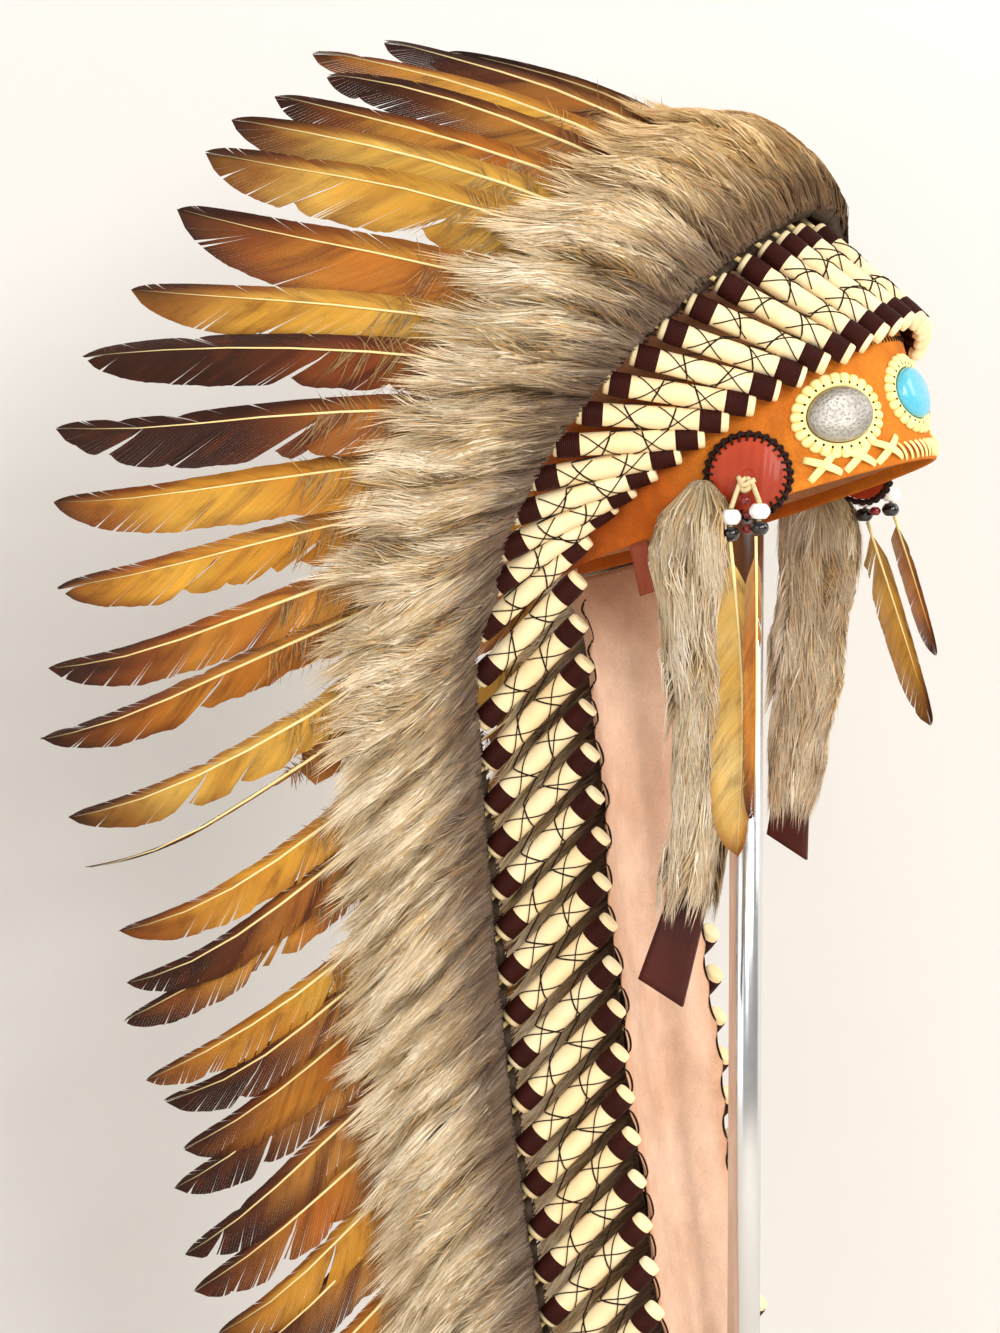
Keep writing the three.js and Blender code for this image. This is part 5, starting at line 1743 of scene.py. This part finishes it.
@dataclass
class FurDrop:
    """A hanging strip of fur with a dark leather end."""

    side: Side
    strip: Table
    swing: float
    end_length: float
    seed: int
    hairs: int = 16000

    PELT = Pelt("6E5A43", "917A5B", "D8C6A0", "FFF7E8", tanned=0.28, length=25, lift=7.5)
    ROUND = 60.0  # about the strip's length round, in millimetres

    def section(self, around: Array, z: Array, height: Array) -> Array:
        """A point on the strip: around from 0 to 1, at a height z, off its skin."""
        around, z, height = aligned(around, z, height)
        held = np.clip(z, self.strip.rows[-1][0] - 12, self.strip.rows[0][0])
        x, y, width = (self.strip.read(name, held) for name in ("x", "y", "width"))
        x = np.abs(x)
        a = around * 2 * np.pi
        thick = np.minimum(6, width * 0.27) * 0.8
        cap = np.sqrt(np.clip((self.strip.rows[0][0] + 5 - z) / 8, 0.04, 1))
        wide = width / 2 * 0.95 * (1 + 0.14 * drift(z * 0.13 + around * 5, self.seed * 1.0)) * cap
        return np.stack([-x + (thick * cap + height) * np.cos(a), y + (wide + height) * np.sin(a), z], -1)

    def build(self) -> None:
        """Makes the strip, its hairs and its end."""
        word = self.side.word
        rng = np.random.default_rng(self.seed)
        top, foot = self.strip.rows[0][0], self.strip.rows[-1][0]
        rows, columns = 40, 20
        ring = self.section(np.arange(columns)[None] / columns, np.linspace(top, foot, rows)[:, None], -0.6)
        core = Draft(f"fur_drop_skin_{word}")
        core.add(ring, [lattice(rows, columns, ring_columns=True)], tint=np.full(3, 0.8))
        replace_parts(core.piece(Finishes.UNDERFUR, self.side), f"fur_drop_{word}")
        n = self.hairs // 1
        around, down = rng.random(n), rng.uniform(-4.5, top - foot - 15, n)
        down[: n // 7] = rng.uniform(-4.5, 12, n // 7)

        def surface(across: Array, run: Array, height: Array) -> Array:
            """The strip's skin, with the hair running down it."""
            return self.section(across, top - run, height)

        # painted shade in the valleys between locks down the strip
        valley = np.exp(-((np.abs((around * 7 + 0.3 * drift(down * 0.08, 3.0)) % 1 - 0.5) / 0.12) ** 2))
        tone = 0.55 + 0.2 * drift(down * 0.07 + around * 7, self.seed + 1.0) + 0.2 * np.sin(around * 2 * np.pi)
        tone = tone - 0.4 * valley
        points, tris, uv, color = hairs(surface, around, down, 1 + 0.3 * (down < 30), self.PELT, rng, tone, 1 / self.ROUND)
        coat = Draft(f"fur_drop_hairs_{word}").add(points, [tris], uv, color)
        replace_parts(coat.piece(Finishes.FUR, self.side), f"fur_drop_{word}")
        self.end(word)
        LOG.info("fur strip, %s side", word)

    def end(self, word: str) -> None:
        """The slanted leather end."""
        x, y, z, width = (self.strip.column(name)[-1] for name in ("x", "y", "z", "width"))
        rows, columns = 14, 9
        share = np.linspace(0, 1, rows)[:, None]
        u = np.linspace(-1, 1, columns)[None]
        half = width / 2 * (1 + 0.12 * share)
        bow = 1.2 * np.sin(share * 3) * (1 - u * u) * 0.5
        across = y + self.swing * share + half * u
        height = z - 0.35 - self.end_length * share + 6 * share * u
        ring = []
        for out, sense in ((-1.3, 1), (1.3, -1)):
            face = np.stack(np.broadcast_arrays(-abs(x) + out + bow, across, height), -1)
            ring.append(face[:, ::sense])
        ring = np.concatenate(ring, axis=1)
        n = 2 * columns
        faces = [lattice(rows, n, ring_columns=True), *lids(rows, n)]
        red = blend(WHITE, np.array([1.6, 1.2, 1.1]), np.broadcast_to(share**2 * 0.6, (rows, n)))
        leather = Draft(f"fur_drop_leather_{word}").add(ring, faces, tint=red)
        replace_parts(leather.piece(Finishes.DARK_LEATHER, self.side, solid=True), f"fur_drop_end_{word}")


class Drops:
    """Everything that hangs below the rosettes."""

    GOLD = Plumage(foot="D8B468", web="DCB058", glow="F0D088", edge="B4823C", tip="8A5416", mottle=0.25, tip_length=0.06)
    RUST = Plumage(web="A8621E", glow="BE7E30", edge="5A2A10", tip="3A170A", mottle=0.5, tip_length=0.12)
    SPLIT = Plumage(web="BE8A2C", glow="D6A84A", edge="6B3C12", tip="2C1608", mottle=0.45, tip_length=0.12)

    def build(self) -> None:
        """Makes the drop feathers, fur strips and the tie strap."""
        for feather in (
            DropFeather("rear", Side.RIGHT, 1.0, 29.8, 147, 26, -5, 0, self.GOLD, splits=0.02, bow=-5.0),
            DropFeather("front", Side.RIGHT, -11.5, 26.8, 132, 13, -1, 1.35, self.RUST),
            DropFeather("rear", Side.LEFT, 2.7, 29.8, 101, 18, -34, 0.2, self.SPLIT),
            DropFeather("front", Side.LEFT, -11.5, 26.8, 69, 13, -22, 0.5, self.RUST),
        ):
            feather.build()
        right = Table("z x y width", ((712, -87, -12, 24), (684, -86, -7, 35), (640, -85, -12, 29), (600, -84, -14, 25),
                                      (560, -84, -11, 24), (520, -84, -5, 20)))
        left = Table("z x y width", ((710, 85, -2, 18), (684, 87, -4, 34), (640, 90, 0, 31), (600, 89, 4, 27),
                                     (565, 86, 8, 23), (548, 85, 10, 19)))
        FurDrop(Side.RIGHT, right, 14, 46, 31).build()
        FurDrop(Side.LEFT, left, 2, 24, 32).build()
        self.strap()

    def strap(self) -> None:
        """The short strap behind the right ear."""
        rows, columns = 12, 7
        share = np.linspace(0, 1, rows)[:, None]
        turn = np.radians(106 + 1.5 * share + 3.2 * np.linspace(-1, 1, columns)[None])
        height = -0.35 - 24 * share
        ring = np.concatenate([HEAD.at(turn, height, -0.4), HEAD.at(turn[:, ::-1], height, -2.2)], axis=1)
        faces = [lattice(rows, 2 * columns, ring_columns=True), *lids(rows, 2 * columns)]
        strap = Draft("tie_strap_leather").add(ring, faces)
        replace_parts(strap.piece(Finishes.STRAP, solid=True), "tie_strap_right")


# ---------------------------------------------------------- stand and studio


@dataclass
class Stand:
    """The plain tube stand."""

    base_radius: float = 170
    base_height: float = 12
    pole_radius: float = 8
    pole_foot: float = 12.35
    pole_top: float = 769.65

    def build(self) -> None:
        """Makes the tube and plate, and finishes the head rest."""
        foot, top, pole = self.pole_foot, self.pole_top, self.pole_radius
        base, high = self.base_radius, self.base_height
        tube = Draft("steel_tube").add(*lathe([(0, foot), (pole, foot), (pole, top), (0, top)], 64))
        tube = tube.piece(Finishes.STEEL, solid=True)
        for face in tube.data.polygons:
            face.use_smooth = abs(face.normal.z) < 0.5
        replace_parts(tube, "stand_pole")
        profile = rounded([(0, 0), (base, 0), (base, high - 2.5), (base - 2.5, high), (0, high)], 1.2, 3)
        collar = rounded([(8.1, high), (19, high), (19, 15), (11, 20), (8.1, 22)], 2, 3)
        plate = Draft("steel_plate").add(*lathe(profile, 128)).add(*lathe(collar, 64))
        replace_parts(plate.piece(Finishes.PLATE, solid=True), "stand_base")
        rest = bpy.data.objects["stand_head_rest"]
        for slot in rest.material_slots:
            slot.material = Finishes.PLATE.material()
        LOG.info("stand")


@dataclass
class Studio:
    """Floor, wall, lights and camera."""

    distance: float = 2300
    heading: float = math.radians(25)
    middle: tuple[float, float] = (-119.6, 622)
    half_height: float = 322
    rise: float = 200.0
    floor_half: float = 9.0
    wall_gap: float = 0.40
    wall_half: float = 8.0
    wall_height: float = 6.0
    aim: float = 0.6

    # name, metres towards the camera, to its right and up, size, watts, colour
    LIGHTS = (
        ("key", 2.0, 1.7, 2.1, 1.1, 54, (1.0, 0.975, 0.95)),
        ("front", 2.3, 0.45, 1.35, 0.45, 17, (1.0, 0.975, 0.94)),
        ("fill", 2.6, -1.8, 1.2, 2.2, 26, (1.0, 0.97, 0.94)),
        ("rim", -0.3, 2.2, 1.9, 1.2, 26, (1.0, 0.98, 0.95)),
    )
    SENSOR = 36.0
    WORLD = (1.0, 0.985, 0.97, 1)
    WORLD_STRENGTH = 0.46

    @property
    def ahead(self) -> Array:
        """The level way the camera looks."""
        return np.array([math.cos(self.heading), math.sin(self.heading), 0])

    @property
    def right(self) -> Array:
        """The way to the right across the view."""
        return np.array([math.sin(self.heading), -math.cos(self.heading), 0])

    def camera(self) -> None:
        """Places the camera a little above the headdress, looking at its middle."""
        data = bpy.data.cameras.new("camera")
        data.sensor_width = self.SENSOR
        data.lens = self.SENSOR / 2 / (self.half_height / self.distance)
        data.clip_start, data.clip_end = 0.05, 60
        camera = bpy.data.objects.new("camera", data)
        aside, up = self.middle
        view = self.ahead * self.distance - [0, 0, self.rise]
        camera.location = (self.right * aside + [0, 0, up] - view) * MM
        camera.rotation_euler = Vector(view).to_track_quat("-Z", "Y").to_euler()
        bpy.context.scene.collection.objects.link(camera)
        bpy.context.scene.camera = camera

    def plain(self, name: str, color: str, thin: bool) -> bpy.types.Material:
        """A plain pale surface; thin ones show from the front only."""
        made = bpy.data.materials.new(name)
        made.use_nodes = True
        w = Wiring(made.node_tree)
        shader = made.node_tree.nodes["Principled BSDF"]
        w.feed(shader, Roughness=0.95)
        where = w.coordinates()
        tone = w.spread(w.noise(where, 1.5, 2), 0.3, 0.7, 0.0, 0.06)
        base = linear(color)
        w.feed(shader, Base_Color=w.mix(tone, tuple(base), tuple(base * 0.8)))
        if thin:
            clear = w.place("ShaderNodeBsdfTransparent")
            both = w.place("ShaderNodeMixShader")
            facing = w.place("ShaderNodeNewGeometry").outputs["Backfacing"]
            for socket, value in zip(both.inputs, (facing, shader.outputs[0], clear.outputs[0])):
                w.give(socket, value)
            w.feed(made.node_tree.nodes["Material Output"], Surface=both.outputs[0])
        return made

    def sheet(self, name: str, corners: Array, material: bpy.types.Material) -> None:
        """A flat four-cornered surface of the set."""
        mesh = bpy.data.meshes.new(name)
        mesh.from_pydata([tuple(c) for c in corners], [], [(0, 1, 2, 3)])
        obj = bpy.data.objects.new(name, mesh)
        mesh.materials.append(material)
        bpy.context.scene.collection.objects.link(obj)

    def light(self, name: str, spot: Array, size: float, power: float, color: Sequence[float]) -> None:
        """A soft square light that points at the middle of the headdress.

        Args:
            name: its name.
            spot: where it stands, in metres.
            size: its width, in metres.
            power: in watts.
            color: red, green and blue.
        """
        data = bpy.data.lights.new(name, "AREA")
        data.size, data.energy, data.color = size, power, color
        lamp = bpy.data.objects.new(name, data)
        lamp.location = spot
        lamp.rotation_euler = Vector(np.array([0, 0, self.aim]) - spot).to_track_quat("-Z", "Y").to_euler()
        bpy.context.scene.collection.objects.link(lamp)

    def build(self) -> None:
        """Makes the set."""
        self.camera()
        far = self.floor_half
        floor = np.array([[-far, -far, 0], [far, -far, 0], [far, far, 0], [-far, far, 0]])
        self.sheet("floor", floor, self.plain("Pale floor", "F3EBE0", False))
        back, wide, tall = self.ahead * self.wall_gap, self.right * self.wall_half, np.array([0, 0, self.wall_height])
        wall = np.array([back - wide, back + wide, back + wide + tall, back - wide + tall])
        self.sheet("wall", wall, self.plain("Pale wall", "E6E5E3", True))
        for name, toward, right, up, size, power, color in self.LIGHTS:
            self.light(name, self.right * right - self.ahead * toward + [0, 0, up], size, power, color)
        bpy.context.scene.view_settings.view_transform = "Standard"
        world = bpy.data.worlds.new("world")
        world.use_nodes = True
        background = world.node_tree.nodes["Background"]
        background.inputs["Color"].default_value = self.WORLD
        background.inputs["Strength"].default_value = self.WORLD_STRENGTH
        bpy.context.scene.world = world
        LOG.info("studio")


# ------------------------------------------------------------------ assembly


def main() -> None:
    """Builds the headdress over its frame."""
    logging.basicConfig(level=logging.INFO, format="%(name)s: %(message)s")
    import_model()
    Studio().build()
    Stand().build()
    CrownCap().build()
    BrowBand().build()
    Trailer().build()
    OvalStone(0, 32, 15.5, 12.5, Finishes.TURQUOISE).build("turquoise_stone", "stone_surround_front")
    for side in Side:
        stone = OvalStone(37, 29, 16.5, 13, Finishes.SILVER)
        stone.build(f"silver_stone_{side.word}", f"stone_surround_{side.word}", side)
        ROSETTE.build(side)
    Drops().build()
    QuillRods().build()
    FeatherRow().build()
    RowFur(1, 56000).build("outer")
    RowFur(-1, 20000, high=8.0).build("inner")
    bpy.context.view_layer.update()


if __name__ == "__main__":
    main()
